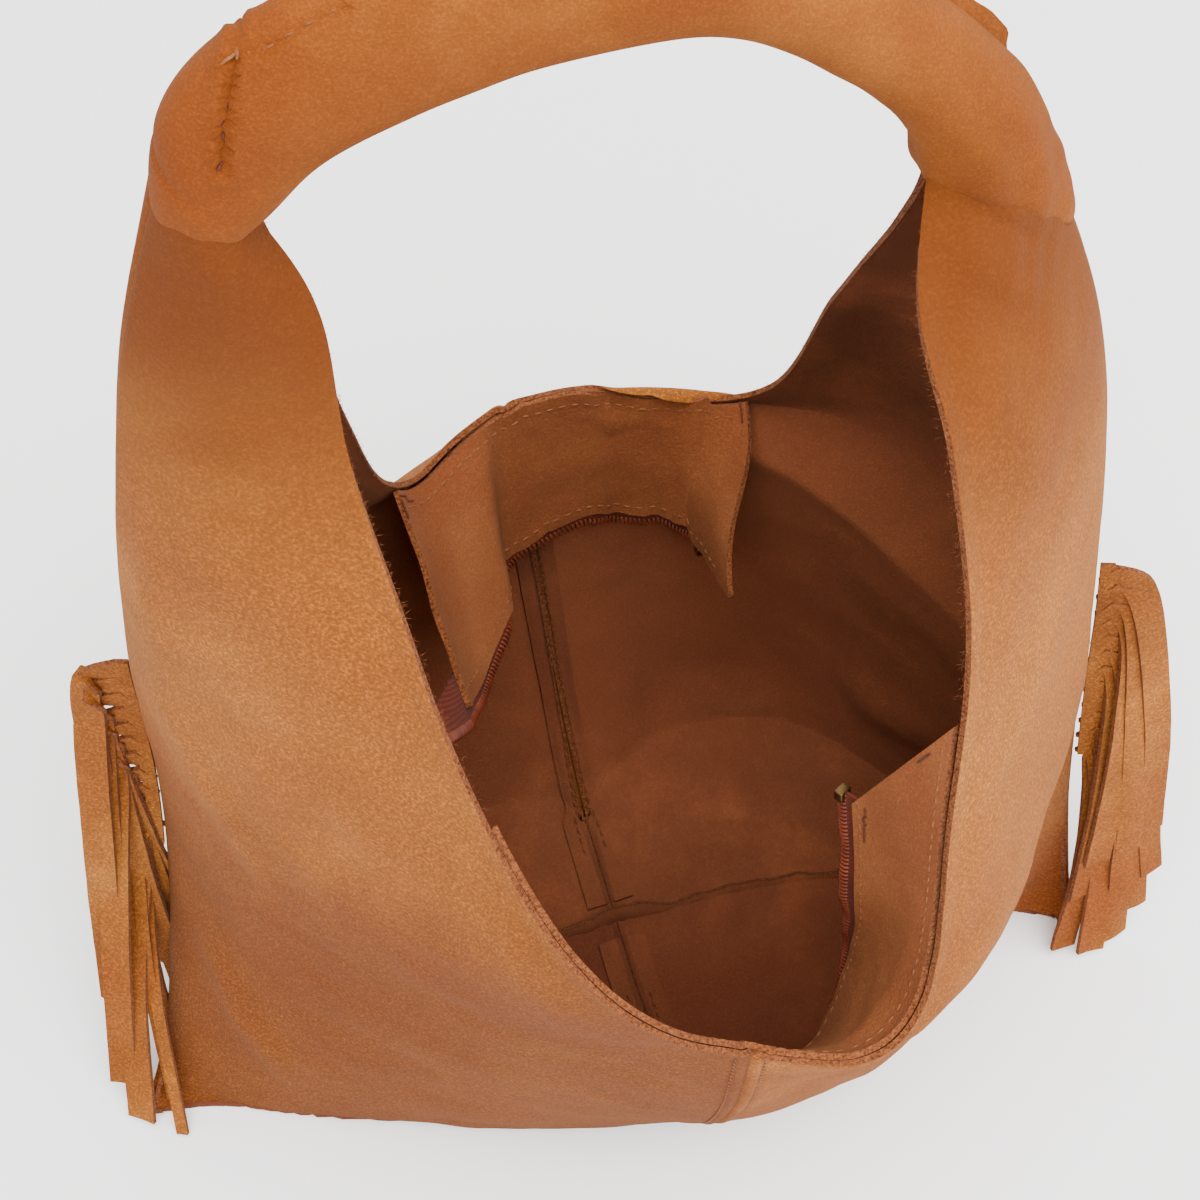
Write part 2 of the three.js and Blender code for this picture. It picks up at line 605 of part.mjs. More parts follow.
function fringeGeometry(side) {
  const out = FRINGE_OUT[side];
  const across = new THREE.Vector3().crossVectors(UP, out);
  const seam = curve(panels[`front_${side}`].grid.map((line) => line[sideColumnOf('front', side)]));
  const samples = seam.getSpacedPoints(ROWS * COLUMNS);
  const seamAt = (height) => samples.find((point) => point.z >= height).clone().setZ(height);
  const bandHeights = Array.from({ length: STRIP_COUNT + 1 }, (_, i) => FRINGE_FOOT + i * STRIP_PITCH);
  const band = [FRINGE_CLEARANCE, FRINGE_CLEARANCE + BAND_WIDTH].map((reach) => bandHeights.map(
    (height) => seamAt(height).addScaledVector(out, reach),
  ));
  const strips = Array.from({ length: STRIP_COUNT }, (_, i) => {
    const height = FRINGE_FOOT + (i + 0.5) * STRIP_PITCH;
    const root = seamAt(height);
    const fall = Math.min(STRIP_LENGTH, height - STRIP_THICKNESS);
    const hang = FRINGE_CLEARANCE + STRIP_REACH + i * STRIP_STEP;
    const fan = STRIP_FAN * Math.sin(FAN_TURN * i);
    const place = (drop, reach, slip) => {
      const below = seamAt(height - drop);
      const point = root.clone().setZ(height - drop).lerp(below, SEAM_FOLLOW);
      const outside = Math.max(below.dot(out) - point.dot(out), 0);
      return point.addScaledVector(out, outside + reach).addScaledVector(across, slip);
    };
    const [bend, turned] = BEND_DROPS.map((share) => share * hang);
    const middle = curve([
      place(0, FRINGE_CLEARANCE + BAND_WIDTH / 2, 0),
      place(bend, BEND_REACH * hang, 0),
      place(turned, hang, 0),
      ...FALL_SHARES.map((share) => place(share * fall, hang, share * fan)),
    ]).getSpacedPoints(STRIP_STEPS);
    return sheet([-1, 1].map((turn) => middle.map(
      (point) => point.clone().addScaledVector(across, (turn * STRIP_WIDTH) / 2),
    )), STRIP_THICKNESS);
  });
  return joined([sheet(band, STRIP_THICKNESS), ...strips]);
}

// The bag
const bag = new THREE.Group();
function add(parent, name, geometry, material) {
  const mesh = new THREE.Mesh(geometry, material);
  mesh.name = name;
  parent.add(mesh);
}

FACES.forEach((face) => {
  SIDES.forEach((side) => {
    const panel = panels[`${face}_${side}`];
    const grid = seamGapped(panel, sideColumnOf(face, side));
    add(bag, `${face}_${side}_panel`, sheet(grid, SUEDE, panel.normals), outerSuede());
  });
  add(bag, `${face}_zip_facing`, facingGeometry(face), facingSuede());
  add(bag, `${face}_zip_tape`, tapeGeometry(face), tapeCloth());
  add(bag, `${face}_zip_coil`, coilGeometry(face), coilNylon());
  const stop = topStop(face);
  stop.name = `${face}_zip_top_stop`;
  bag.add(stop);
});
add(bag, 'handle_roll', handleGeometry(), outerSuede());
SIDES.forEach((side) => add(bag, `${side}_fringe`, fringeGeometry(side), outerSuede()));
add(sliderFrame, 'zip_slider', sliderGeometry(), zipMetal());
add(sliderFrame, 'zip_pull', pullGeometry(), zipMetal());
add(sliderFrame, 'zip_bottom_stop', bottomStopGeometry(), zipMetal());
bag.add(sliderFrame);

// The origin is under the middle of the bag's box.
bag.updateMatrixWorld(true);
const extent = new THREE.Box3().setFromObject(bag, true);
const middle = extent.getCenter(new THREE.Vector3());
bag.position.set(-middle.x, -middle.y, -extent.min.z);

export default bag;
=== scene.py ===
import math

import bmesh
import bpy
import numpy as np
from mathutils import Matrix, Vector, noise
from mathutils.bvhtree import BVHTree


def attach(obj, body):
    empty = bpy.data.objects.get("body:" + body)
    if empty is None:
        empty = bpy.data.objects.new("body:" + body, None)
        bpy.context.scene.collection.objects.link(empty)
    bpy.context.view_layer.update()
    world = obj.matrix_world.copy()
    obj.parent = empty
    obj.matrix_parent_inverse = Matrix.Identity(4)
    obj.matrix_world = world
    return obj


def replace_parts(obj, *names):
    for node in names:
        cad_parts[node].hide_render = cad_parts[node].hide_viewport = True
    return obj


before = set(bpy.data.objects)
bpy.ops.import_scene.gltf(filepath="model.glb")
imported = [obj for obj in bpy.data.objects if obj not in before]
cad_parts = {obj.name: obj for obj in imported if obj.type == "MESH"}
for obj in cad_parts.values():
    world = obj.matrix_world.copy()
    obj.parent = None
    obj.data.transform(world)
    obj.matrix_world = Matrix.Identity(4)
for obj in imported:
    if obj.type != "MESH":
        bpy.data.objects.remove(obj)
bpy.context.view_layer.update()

# Lengths below are millimetres from the middle of the bottom seam, unless a name says otherwise.
MM = 0.001
SEAM_CENTRE = np.array((-4.474, 1.021, 0.0))
HALF_WIDTH = 150.0
MOUTH_REACH = 100.0
RIM_HEIGHT = 178.0
LEG_RISE = 217.0
HANDLE_RADIUS = 11.25
HANDLE_FLARE = 13.0
SUEDE = 1.6
PLY_GAP = 0.3
FACING_DEPTH = 54.0
TAPE_WIDTH = 13.0
TAPE_THICKNESS = 0.8
TAPE_SEAT = 0.15
COIL_DIAMETER = 2.6
COIL_PITCH = 1.5
UP = np.array((0.0, 0.0, 1.0))

# The photograph's camera
VIEW_BACK = np.array((-0.12083, -0.42139, 0.89879))
VIEW_RIGHT = np.array((0.96126, -0.27564, 0.0))
VIEW_UP = np.array((0.24774, 0.86397, 0.43837))
VIEW_PLACE = np.array((-74.26, -239.88, 756.5))
IMAGE_SIDE = 1200
FOCUS_PIXELS = 2400.0


def unit(vectors):
    vectors = np.asarray(vectors, float)
    return vectors / np.linalg.norm(vectors, axis=-1, keepdims=True)


def smooth(value):
    value = np.clip(value, 0.0, 1.0)
    return value * value * (3 - 2 * value)


def hump(distance, width, place=0.0):
    """A smooth hump: 1 at a place, and almost nothing beyond twice its width."""
    return np.exp(-(((distance - place) / width) ** 2))


def between(where, run, values):
    """Rows of values that belong to places along a run, interpolated at other places along it."""
    return np.stack([np.interp(where, run, values[:, k]) for k in range(values.shape[1])], axis=-1)


def to_frame(points):
    """Points in the shared frame, in metres."""
    return (np.asarray(points, float) + SEAM_CENTRE) * MM


def pixels_of(points):
    """Where points show in the photograph, in its pixels."""
    reach = np.asarray(points, float) - VIEW_PLACE
    depth = -reach @ VIEW_BACK
    middle = IMAGE_SIDE / 2
    across = middle + FOCUS_PIXELS * (reach @ VIEW_RIGHT) / depth
    down = middle - FOCUS_PIXELS * (reach @ VIEW_UP) / depth
    return np.stack((across, down), axis=-1)


def sight(pixel):
    """The direction from the camera through a pixel of the photograph."""
    across = (pixel[0] - IMAGE_SIDE / 2) / FOCUS_PIXELS
    down = (pixel[1] - IMAGE_SIDE / 2) / FOCUS_PIXELS
    return unit(across * VIEW_RIGHT - down * VIEW_UP - VIEW_BACK)


def ripple(points, size, seed):
    """Smooth noise from -1 to 1 at each point, with waves about as long as size."""
    flat = np.asarray(points, float).reshape(-1, 3) / size
    offset = Vector((seed * 17.3, seed * 5.1, seed * 9.7))
    values = [noise.noise(Vector(point) + offset) for point in flat]
    return np.array(values).reshape(np.shape(points)[:-1])


class Line:
    """A smooth line through chosen points, as the part's own outlines are drawn."""

    STEPS = 60

    def __init__(self, points):
        self.points = np.asarray(points, float)
        count = self.STEPS * (len(self.points) - 1) + 1
        self.fine = self.by_number(np.linspace(0, 1, count))
        steps = np.linalg.norm(np.diff(self.fine, axis=0), axis=1)
        self.length = steps.sum()
        self.run = np.concatenate(([0.0], np.cumsum(steps))) / self.length

    def by_number(self, share):
        """Points at shares of the line, counted by its chosen points."""
        points = self.points
        last = len(points) - 1
        place = np.clip(np.asarray(share, float), 0, 1) * last
        first = np.minimum(place.astype(int), last - 1)
        weight = (place - first)[:, None]
        padded = np.vstack((2 * points[0] - points[1], points, 2 * points[-1] - points[-2]))
        p0, p1, p2, p3 = (padded[first + k] for k in range(4))
        spans = (p1 - p0, p2 - p1, p3 - p2)
        d0, d1, d2 = (np.sqrt(np.linalg.norm(span, axis=1))[:, None] for span in spans)
        m1 = ((p1 - p0) / d0 - (p2 - p0) / (d0 + d1) + (p2 - p1) / d1) * d1
        m2 = ((p2 - p1) / d1 - (p3 - p1) / (d1 + d2) + (p3 - p2) / d2) * d1
        square = -3 * p1 + 3 * p2 - 2 * m1 - m2
        cube = 2 * p1 - 2 * p2 + m1 + m2
        return p1 + m1 * weight + square * weight**2 + cube * weight**3

    def at(self, share):
        """Points at shares of the line's length."""
        share = np.clip(np.asarray(share, float), 0, 1)
        return between(share, self.run, self.fine)

    def towards(self, share, reach=0.004):
        share = np.asarray(share, float)
        return unit(self.at(share + reach) - self.at(share - reach))


def spots(places):
    """Places on the bag: shares of the half width and of the mouth's reach, and a height where 1 is the rim."""
    x, y, v = np.asarray(places, float).T
    height = SUEDE / 2 + np.minimum(v, 1) * RIM_HEIGHT + np.maximum(v - 1, 0) * LEG_RISE
    return np.stack((x * HALF_WIDTH, y * MOUTH_REACH, height), axis=-1)


# Outlines of the body, as in the part
CORNER = {"left": (-1.06, -0.21, 0.03), "right": (0.95, -0.4, 0.03)}
BOTTOM_SEAM = {"left": (-0.5, -0.05, 0), "right": (0.5, -0.06, 0)}
SIDE_SEAM = {
    "left": [
        (-0.985, -0.05, 0.13), (-0.885, 0.21, 0.4), (-0.82, 0.33, 0.75), (-0.79, 0.37, 1.1),
        (-0.76, 0.32, 1.3), (-0.71, 0.25, 1.57), (-0.63, 0.24, 1.85),
    ],
    "right": [
        (0.935, -0.32, 0.16), (0.91, -0.22, 0.42), (0.885, -0.13, 0.72), (0.85, -0.05, 1.08),
        (0.78, 0.06, 1.48), (0.72, 0.13, 1.66),
    ],
}
CENTRE_SEAM = {
    "front": [(0, -0.22, 0), (0.01, -0.45, 0), (0.02, -0.68, 0.09), (0.03, -0.83, 0.3), (0.035, -0.95, 0.65)],
    "back": [(0, 0.14, 0), (0, 0.36, 0), (0, 0.7, 0.19), (-0.003, 0.92, 0.5), (-0.018, 0.99, 0.75)],
}
RIM_CENTRE = {"front": (0.033, -0.99, 1), "back": (-0.033, 1, 0.97)}
MOUTH_EDGE = {
    "front_left": [
        (-0.12, -0.92, 1.11), (-0.2, -0.82, 1.18), (-0.27, -0.64, 1.28), (-0.33, -0.4, 1.45),
        (-0.36, -0.18, 1.6), (-0.385, 0.02, 1.74), (-0.39, 0.15, 1.91),
    ],
    "front_right": [
        (0.13, -1.02, 0.98), (0.25, -1.03, 0.98), (0.31, -0.98, 1.01), (0.345, -0.91, 1.07),
        (0.37, -0.74, 1.26), (0.41, -0.52, 1.49), (0.385, -0.3, 1.73), (0.39, -0.06, 1.79),
    ],
    "back_left": [
        (-0.13, 0.92, 0.98), (-0.23, 0.8, 1), (-0.29, 0.72, 1.07), (-0.35, 0.58, 1.36), (-0.39, 0.42, 1.7),
    ],
    "back_right": [
        (0.11, 1.01, 0.95), (0.25, 0.98, 0.9), (0.38, 0.94, 0.87), (0.47, 0.88, 0.93),
        (0.52, 0.72, 1.25), (0.53, 0.48, 1.56), (0.51, 0.34, 1.73),
    ],
}
HANDLE_LINE = Line(spots([
    (-0.48, 0.26, 2.03), (-0.35, 0.26, 2.105), (-0.07, 0.26, 2.16), (0.17, 0.26, 2.147),
    (0.375, 0.24, 2.035), (0.495, 0.21, 1.93), (0.55, 0.19, 1.83),
]))
LEG_ARC = math.radians(168)
ROLL_RADIUS = HANDLE_RADIUS - SUEDE / 2
LEG_SLANT = {"left": 0.0, "right": 16.0}
ROWS = 28
RIM_ROW = 8
SAG_ROWS = 7
FLOOR_SAG = 24.0
SWELL_LOW = 0.4
SWELL_FADE = 1.5
SWELL = {
    "front_left": (25.0, 0.6, (-0.4, -0.9, -0.3)),
    "front_right": (20.0, 1.6, (0.4, -0.9, -0.3)),
    "back_left": (10.0, 1.0, (-0.4, 0.9, -0.3)),
    "back_right": (27.0, 1.2, (0.4, 0.9, -0.3)),
}
PANELS = tuple(SWELL)


def handle_end(side):
    """The middle of a handle end, and the directions outwards and backwards across it."""
    share = 0.0 if side == "left" else 1.0
    centre = HANDLE_LINE.at(np.array([share]))[0]
    inwards = HANDLE_LINE.towards(np.array([share]))[0] * (1 if side == "left" else -1)
    outwards = np.array((-1.0 if side == "left" else 1.0, 0, 0))
    outwards = unit(outwards - (outwards @ inwards) * inwards)
    backwards = np.array((0.0, 1.0, 0.0))
    backwards -= (backwards @ inwards) * inwards
    backwards = unit(backwards - (backwards @ outwards) * outwards)
    return centre - PLY_GAP * inwards, outwards, backwards, inwards


def leg_arc(side, face, share):
    """The top of a leg, inside the handle: half way round the roll, from the side seam to the mouth edge."""
    centre, outwards, backwards, inwards = handle_end(side)
    turn = (-1 if face == "front" else 1) * np.sin(share * LEG_ARC)
    round_roll = np.cos(share * LEG_ARC)[:, None] * outwards + turn[:, None] * backwards
    arc = centre + ROLL_RADIUS * round_roll
    return arc + LEG_SLANT[side] * (1 - np.cos(share * LEG_ARC))[:, None] / 2 * inwards


def side_seam(side):
    start = spots([CORNER[side], *SIDE_SEAM[side]])
    return Line(np.vstack((start, leg_arc(side, "front", np.zeros(1)))))


def bottom_seam(side):
    return Line(spots([CORNER[side], BOTTOM_SEAM[side], (0, 0, 0)]))


def centre_seam(face):
    return Line(spots([(0, 0, 0), *CENTRE_SEAM[face], RIM_CENTRE[face]]))


def mouth_edge(name):
    face, side = name.split("_")
    start = spots([RIM_CENTRE[face], *MOUTH_EDGE[name]])
    return Line(np.vstack((start, leg_arc(side, face, np.ones(1)))))


def panel_points(name, s, t):
    """Points of a panel: s from its side seam to its centre seam or mouth edge, t from bottom to handle."""
    face, side = name.split("_")
    seam, bottom = side_seam(side), bottom_seam(side)
    centre, mouth = centre_seam(face), mouth_edge(name)
    row = t * ROWS
    low = (row <= RIM_ROW)[:, None]
    inner = np.where(low, centre.at(row / RIM_ROW), mouth.at((row - RIM_ROW) / (ROWS - RIM_ROW)))
    corner, middle = bottom.points[0], bottom.points[-1]
    arc_start, arc_end = leg_arc(side, face, np.array([0.0, 1.0]))
    s_, t_ = s[:, None], t[:, None]
    points = (1 - s_) * seam.at(t) + s_ * inner + (1 - t_) * bottom.at(s) + t_ * leg_arc(side, face, s)
    points -= (1 - s_) * (1 - t_) * corner + s_ * (1 - t_) * middle
    points -= (1 - s_) * t_ * arc_start + s_ * t_ * arc_end
    belly, aside, way = SWELL[name]
    rise = np.maximum(np.sin(np.pi * t**SWELL_LOW), 0) ** SWELL_FADE
    swell = belly * np.sin(np.pi * s**aside) * rise
    sag = FLOOR_SAG * np.sqrt(np.maximum(np.sin(np.pi * s), 0)) * np.maximum(1 - row / SAG_ROWS, 0)
    points += swell[:, None] * unit(way) - sag[:, None] * UP
    points[:, 2] = np.maximum(points[:, 2], SUEDE / 2)
    return points


def grid_normals(points):
    return unit(np.cross(np.gradient(points, axis=1), np.gradient(points, axis=0)))


def run_along(points, axis):
    steps = np.linalg.norm(np.diff(points, axis=axis), axis=-1)
    zero = np.zeros_like(np.take(steps, [0], axis=axis))
    return np.concatenate((zero, np.cumsum(steps, axis=axis)), axis=axis)


# Soft folds that the photograph shows: a line of its pixels, and a height and half width in millimetres
PIXELS_PER_MM = 3.6
FAR = 1e9
FOLDS = {
    "front_left": [
        ([(168, 690), (205, 770), (262, 885)], 2.8, 3.4),
        ([(206, 930), (240, 1000), (290, 1075)], 2.6, 2.8),
        ([(150, 560), (168, 690)], 1.6, 5.0),
        ([(300, 330), (345, 560), (430, 800)], -2.0, 14.0),
        ([(230, 830), (300, 960), (420, 1060)], -1.6, 10.0),
        ([(470, 900), (560, 1010), (640, 1060)], 1.4, 10.0),
    ],
    "front_right": [
        ([(960, 330), (1000, 420), (1070, 520)], 1.6, 9.0),
        ([(970, 620), (1010, 760), (1060, 860)], -1.6, 12.0),
        ([(930, 190), (985, 215), (1040, 240)], -2.0, 3.5),
        ([(960, 255), (1010, 285), (1065, 300)], 1.2, 5.0),
        ([(800, 1055), (850, 1040), (890, 1005), (912, 960)], 6.5, 8.0),
    ],
    "back_right": [
        ([(842, 662), (885, 705), (930, 739)], -4.5, 5.0),
        ([(800, 610), (842, 662), (890, 700)], 2.0, 6.0),
        ([(700, 480), (720, 620), (740, 760)], -2.2, 9.0),
        ([(640, 560), (655, 680), (668, 800)], 2.0, 9.0),
    ],
    "back_left": [],
}


def fold_heights(name, points):
    """How far the folds of a panel lift each of its points."""
    heights = np.zeros(points.shape[:2])
    where = pixels_of(points)
    for path, height, half_width in FOLDS[name]:
        path = np.asarray(path, float)
        best = np.full(where.shape[:2], FAR)
        share = np.zeros(where.shape[:2])
        for k, (a, b) in enumerate(zip(path[:-1], path[1:])):
            span = b - a
            along = np.clip(((where - a) @ span) / (span @ span), 0, 1)
            off = np.linalg.norm(where - a - along[..., None] * span, axis=-1)
            closer = off < best
            best = np.where(closer, off, best)
            share = np.where(closer, (k + along) / (len(path) - 1), share)
        fade = np.sin(np.pi * np.clip(share * 0.9 + 0.05, 0, 1)) ** 0.6
        heights += height * fade * hump(best, half_width * PIXELS_PER_MM)
    return heights


# Waves in every panel: height, length, and a number that sets one panel's waves apart from the next one's
WAVES = ((2.2, 62, 0), (1.1, 27, 10), (0.35, 11, 20))
GATHER_HEIGHT = 0.2
GATHER_REACH = 60
GATHERS_PER_MM = 0.7
HELD_BY_SEAM = 16
HELD_BY_HANDLE = 14
HELD_BY_RIM = 22
RIM_FREEDOM = 0.25
SEAM_DIP = 1.3
SEAM_ROLL = 1.3
SEAM_RIDGE, SEAM_RIDGE_WIDTH, SEAM_RIDGE_PLACE = 0.5, 1.1, 2.2
RIM_CURL = {"front": 1.5, "back": 0.6}
RIM_CURL_WIDTH = 3.6
STITCH_ROW = 4.4
STITCH_DIP, STITCH_DIP_WIDTH = 0.45, 0.8
ACROSS_STEPS = 96
UPWARD_STEPS = 270
EDGE_CROWDING = 0.72


def crowded(steps):
    """Shares across a panel, closer together near both edges."""
    share = np.linspace(0, 1, steps + 1)
    return share - EDGE_CROWDING * np.sin(2 * np.pi * share) / (2 * np.pi)


def panel_shape(name):
    """The middle surface of a panel with its folds, as rows of points, and its outward normals."""
    face, side = name.split("_")
    s, t = np.meshgrid(crowded(ACROSS_STEPS), np.linspace(0, 1, UPWARD_STEPS + 1))
    if (face == "front") != (side == "left"):
        s = s[:, ::-1]
    points = panel_points(name, s.ravel(), t.ravel()).reshape(*s.shape, 3)
    normals = grid_normals(points)
    across = run_along(points, 1)
    to_side = across if s[0, 0] < 0.5 else across[:, -1:] - across
    to_inner = across[:, -1:] - to_side
    upward = run_along(points, 0)
    to_top = upward[-1:] - upward
    on_rim = smooth((t * ROWS - RIM_ROW) / 2.0)
    free = smooth(to_side / HELD_BY_SEAM) * smooth(upward / HELD_BY_SEAM) * smooth(to_top / HELD_BY_HANDLE)
    at_rim = RIM_FREEDOM + (1 - RIM_FREEDOM) * smooth(to_inner / HELD_BY_RIM)
    free *= smooth(to_inner / HELD_BY_SEAM) * (1 - on_rim) + at_rim * on_rim
    seed = PANELS.index(name) + 1
    wave = sum(height * ripple(points, length, seed + apart) for height, length, apart in WAVES)
    gathers = np.sin(across * GATHERS_PER_MM + 4 * ripple(points, 30, seed + 30))
    gather = smooth(1 - to_top / GATHER_REACH) * GATHER_HEIGHT * gathers
    lift = free * (wave + gather + fold_heights(name, points))
    at_seam = np.minimum(np.minimum(to_side, upward), to_inner + 60 * on_rim)
    lift -= SEAM_DIP * hump(at_seam, SEAM_ROLL)
    lift -= STITCH_DIP * hump(to_inner, STITCH_DIP_WIDTH, STITCH_ROW) * (1 - on_rim)
    lift += SEAM_RIDGE * hump(to_inner, SEAM_RIDGE_WIDTH, SEAM_RIDGE_PLACE) * (1 - on_rim)
    lift += RIM_CURL[face] * hump(to_inner, RIM_CURL_WIDTH) * on_rim * smooth(to_top / 40)
    points = points + lift[..., None] * normals
    points[..., 2] = np.maximum(points[..., 2], SUEDE / 2)
    return points, grid_normals(points), s, t


def tint(red, green, blue):
    """A colour as the eye reads it, 0 to 255, as the shader's own values."""
    values = [value / 255 for value in (red, green, blue)]
    linear = [v / 12.92 if v <= 0.04045 else ((v + 0.055) / 1.055) ** 2.4 for v in values]
    return (*linear, 1.0)


def grey(value):
    return (value, value, value, 1.0)


class Finish:
    """A material under construction: its nodes, its links and its surface shader."""

    def __init__(self, name):
        self.material = bpy.data.materials.new(name)
        self.material.use_nodes = True
        self.nodes = self.material.node_tree.nodes
        self.links = self.material.node_tree.links
        self.surface = self.nodes["Principled BSDF"]
        self.coordinates = self.nodes.new("ShaderNodeTexCoord")

    def set(self, **values):
        for name, value in values.items():
            self.surface.inputs[name.replace("_", " ")].default_value = value

    def noise(self, scale, detail=2.0, roughness=0.5, stretch=None, source="Object"):
        texture = self.nodes.new("ShaderNodeTexNoise")
        texture.inputs["Scale"].default_value = scale
        texture.inputs["Detail"].default_value = detail
        texture.inputs["Roughness"].default_value = roughness
        place = self.coordinates.outputs[source]
        if stretch:
            mapping = self.nodes.new("ShaderNodeMapping")
            mapping.inputs["Scale"].default_value = stretch
            self.links.new(place, mapping.inputs["Vector"])
            place = mapping.outputs["Vector"]
        self.links.new(place, texture.inputs["Vector"])
        return texture.outputs["Fac"]

    def ramp(self, value, stops):
        ramp = self.nodes.new("ShaderNodeValToRGB")
        elements = ramp.color_ramp.elements
        while len(elements) < len(stops):
            elements.new(0.5)
        for element, (place, colour) in zip(elements, stops):
            element.position = place
            element.color = colour
        self.links.new(value, ramp.inputs["Fac"])
        return ramp.outputs["Color"]

    def mix(self, first, second, share, blend="MIX"):
        mix = self.nodes.new("ShaderNodeMix")
        mix.data_type = "RGBA"
        mix.blend_type = blend
        for socket, value in ((mix.inputs[6], first), (mix.inputs[7], second), (mix.inputs[0], share)):
            if isinstance(value, bpy.types.NodeSocket):
                self.links.new(value, socket)
            else:
                socket.default_value = value
        return mix.outputs[2]

    def attribute(self, name):
        node = self.nodes.new("ShaderNodeAttribute")
        node.attribute_name = name
        return node.outputs["Fac"]

    def bump(self, height, strength, distance, under=None):
        bump = self.nodes.new("ShaderNodeBump")
        bump.inputs["Strength"].default_value = strength
        bump.inputs["Distance"].default_value = distance
        self.links.new(height, bump.inputs["Height"])
        if under:
            self.links.new(under, bump.inputs["Normal"])
        return bump.outputs["Normal"]

    def colour(self, socket):
        self.links.new(socket, self.surface.inputs["Base Color"])

    def normal(self, socket):
        self.links.new(socket, self.surface.inputs["Normal"])


CALM_NAP = 0.28


def suede_finish(name, dark, body, light, rust, painted_shade, nap=0.62, grain=1250):
    """Napped suede: patches of nap, a rusty cast, painted shade, a pale band of painted light, and fine flecks.
    """
    finish = Finish(name)
    finish.set(Roughness=0.95, Specular_IOR_Level=0.08, Sheen_Weight=0.03, Sheen_Roughness=0.55)
    finish.set(Sheen_Tint=(1.0, 0.8, 0.55, 1.0))
    patches = finish.ramp(finish.noise(26, 5, 0.62), ((0.3, dark), (0.5, body), (0.72, light)))
    cast = finish.ramp(finish.noise(11, 3, 0.55), ((0.42, grey(0)), (0.66, grey(1))))
    # A pale band of painted light: the light tone is mixed in where the mesh attribute says
    ground = finish.mix(finish.mix(patches, rust, cast), light, finish.attribute("painted_light_band"))
    # Painted shade: the painted-shade colour is mixed in where the mesh attribute says
    ground = finish.mix(ground, painted_shade, finish.attribute("painted_shade"))
    flecks = finish.noise(grain, 3, 0.65)
    spread = finish.ramp(flecks, ((0.36, grey(0.26)), (0.52, grey(0.46)), (0.66, grey(0.98))))
    flattened = finish.attribute("calm")
    strength = finish.ramp(flattened, ((0.0, grey(nap)), (0.8, grey(CALM_NAP * nap))))
    finish.colour(finish.mix(ground, spread, strength, "OVERLAY"))
    soft = finish.bump(finish.noise(150, 4, 0.6), 0.3, 0.0012)
    finish.normal(finish.bump(flecks, 0.7, 0.0006, soft))
    return finish.material


def cut_edge_finish(name, dark, light):
    """The raw cut edge of suede: loose rusty fibres."""
    finish = Finish(name)
    finish.set(Roughness=1.0, Specular_IOR_Level=0.05, Sheen_Weight=0.03)
    fibres = finish.noise(1300, 3, 0.7)
    finish.colour(finish.ramp(fibres, ((0.32, dark), (0.68, light))))
    finish.normal(finish.bump(fibres, 0.9, 0.0007))
    return finish.material


# The fifth colour of each suede finish is the colour of painted shade
OUTER = suede_finish(
    "camel_suede", tint(114, 63, 23), tint(132, 76, 28), tint(150, 93, 39), tint(120, 61, 20),
    tint(92, 44, 13),
)
ROLL = suede_finish(
    "handle_suede_finish", tint(108, 55, 17), tint(122, 65, 20), tint(140, 81, 30), tint(112, 53, 15),
    tint(92, 44, 13), nap=0.27, grain=1700,
)
INNER = suede_finish(
    "flesh_side_suede", tint(104, 59, 38), tint(116, 67, 44), tint(146, 84, 53), tint(108, 59, 38),
    tint(96, 50, 34), nap=0.2, grain=1500,
)
FACING = suede_finish(
    "facing_suede", tint(112, 62, 35), tint(124, 71, 39), tint(138, 84, 48), tint(116, 61, 33),
    tint(96, 50, 30), nap=0.3, grain=1500,
)
EDGE = cut_edge_finish("raw_edge", tint(66, 32, 17), tint(138, 82, 48))


def thread_finish(name, dark, light):
    finish = Finish(name)
    finish.set(Roughness=0.7, Specular_IOR_Level=0.2, Sheen_Weight=0.03)
    twist = finish.noise(900, 2, 0.5, (1.0, 1.0, 2.4))
    finish.colour(finish.ramp(twist, ((0.3, dark), (0.7, light))))
    finish.normal(finish.bump(twist, 0.4, 0.0002))
    return finish.material


PALE_THREAD = thread_finish("pale_thread", tint(104, 60, 33), tint(134, 86, 50))
TAN_THREAD = thread_finish("tan_thread", tint(90, 46, 20), tint(126, 74, 38))
DARK_THREAD = thread_finish("dark_thread", tint(60, 24, 14), tint(92, 44, 26))


def tape_finish():
    """Woven rust tape with fine slanting ribs."""
    finish = Finish("zip_tape_weave")
    finish.set(Roughness=0.85, Specular_IOR_Level=0.15, Sheen_Weight=0.03)
    wave = finish.nodes.new("ShaderNodeTexWave")
    wave.wave_type = "BANDS"
    wave.bands_direction = "DIAGONAL"
    wave.inputs["Scale"].default_value = 420
    wave.inputs["Distortion"].default_value = 1.5
    finish.links.new(finish.coordinates.outputs["Object"], wave.inputs["Vector"])
    stain = finish.ramp(finish.noise(60, 3), ((0.3, tint(74, 28, 16)), (0.7, tint(102, 40, 24))))
    yarn = finish.ramp(wave.outputs["Fac"], ((0.2, grey(0.3)), (0.8, grey(0.62))))
    finish.colour(finish.mix(stain, yarn, 0.5, "OVERLAY"))
    finish.normal(finish.bump(wave.outputs["Fac"], 0.6, 0.0003))
    return finish.material


def coil_finish():
    finish = Finish("zip_coil_nylon")
    finish.set(Roughness=0.45, Specular_IOR_Level=0.3)
    shade = finish.noise(140, 3)
    finish.colour(finish.ramp(shade, ((0.3, tint(82, 34, 19)), (0.7, tint(116, 52, 31)))))
    finish.normal(finish.bump(finish.noise(2200, 2), 0.15, 0.0001))
    return finish.material


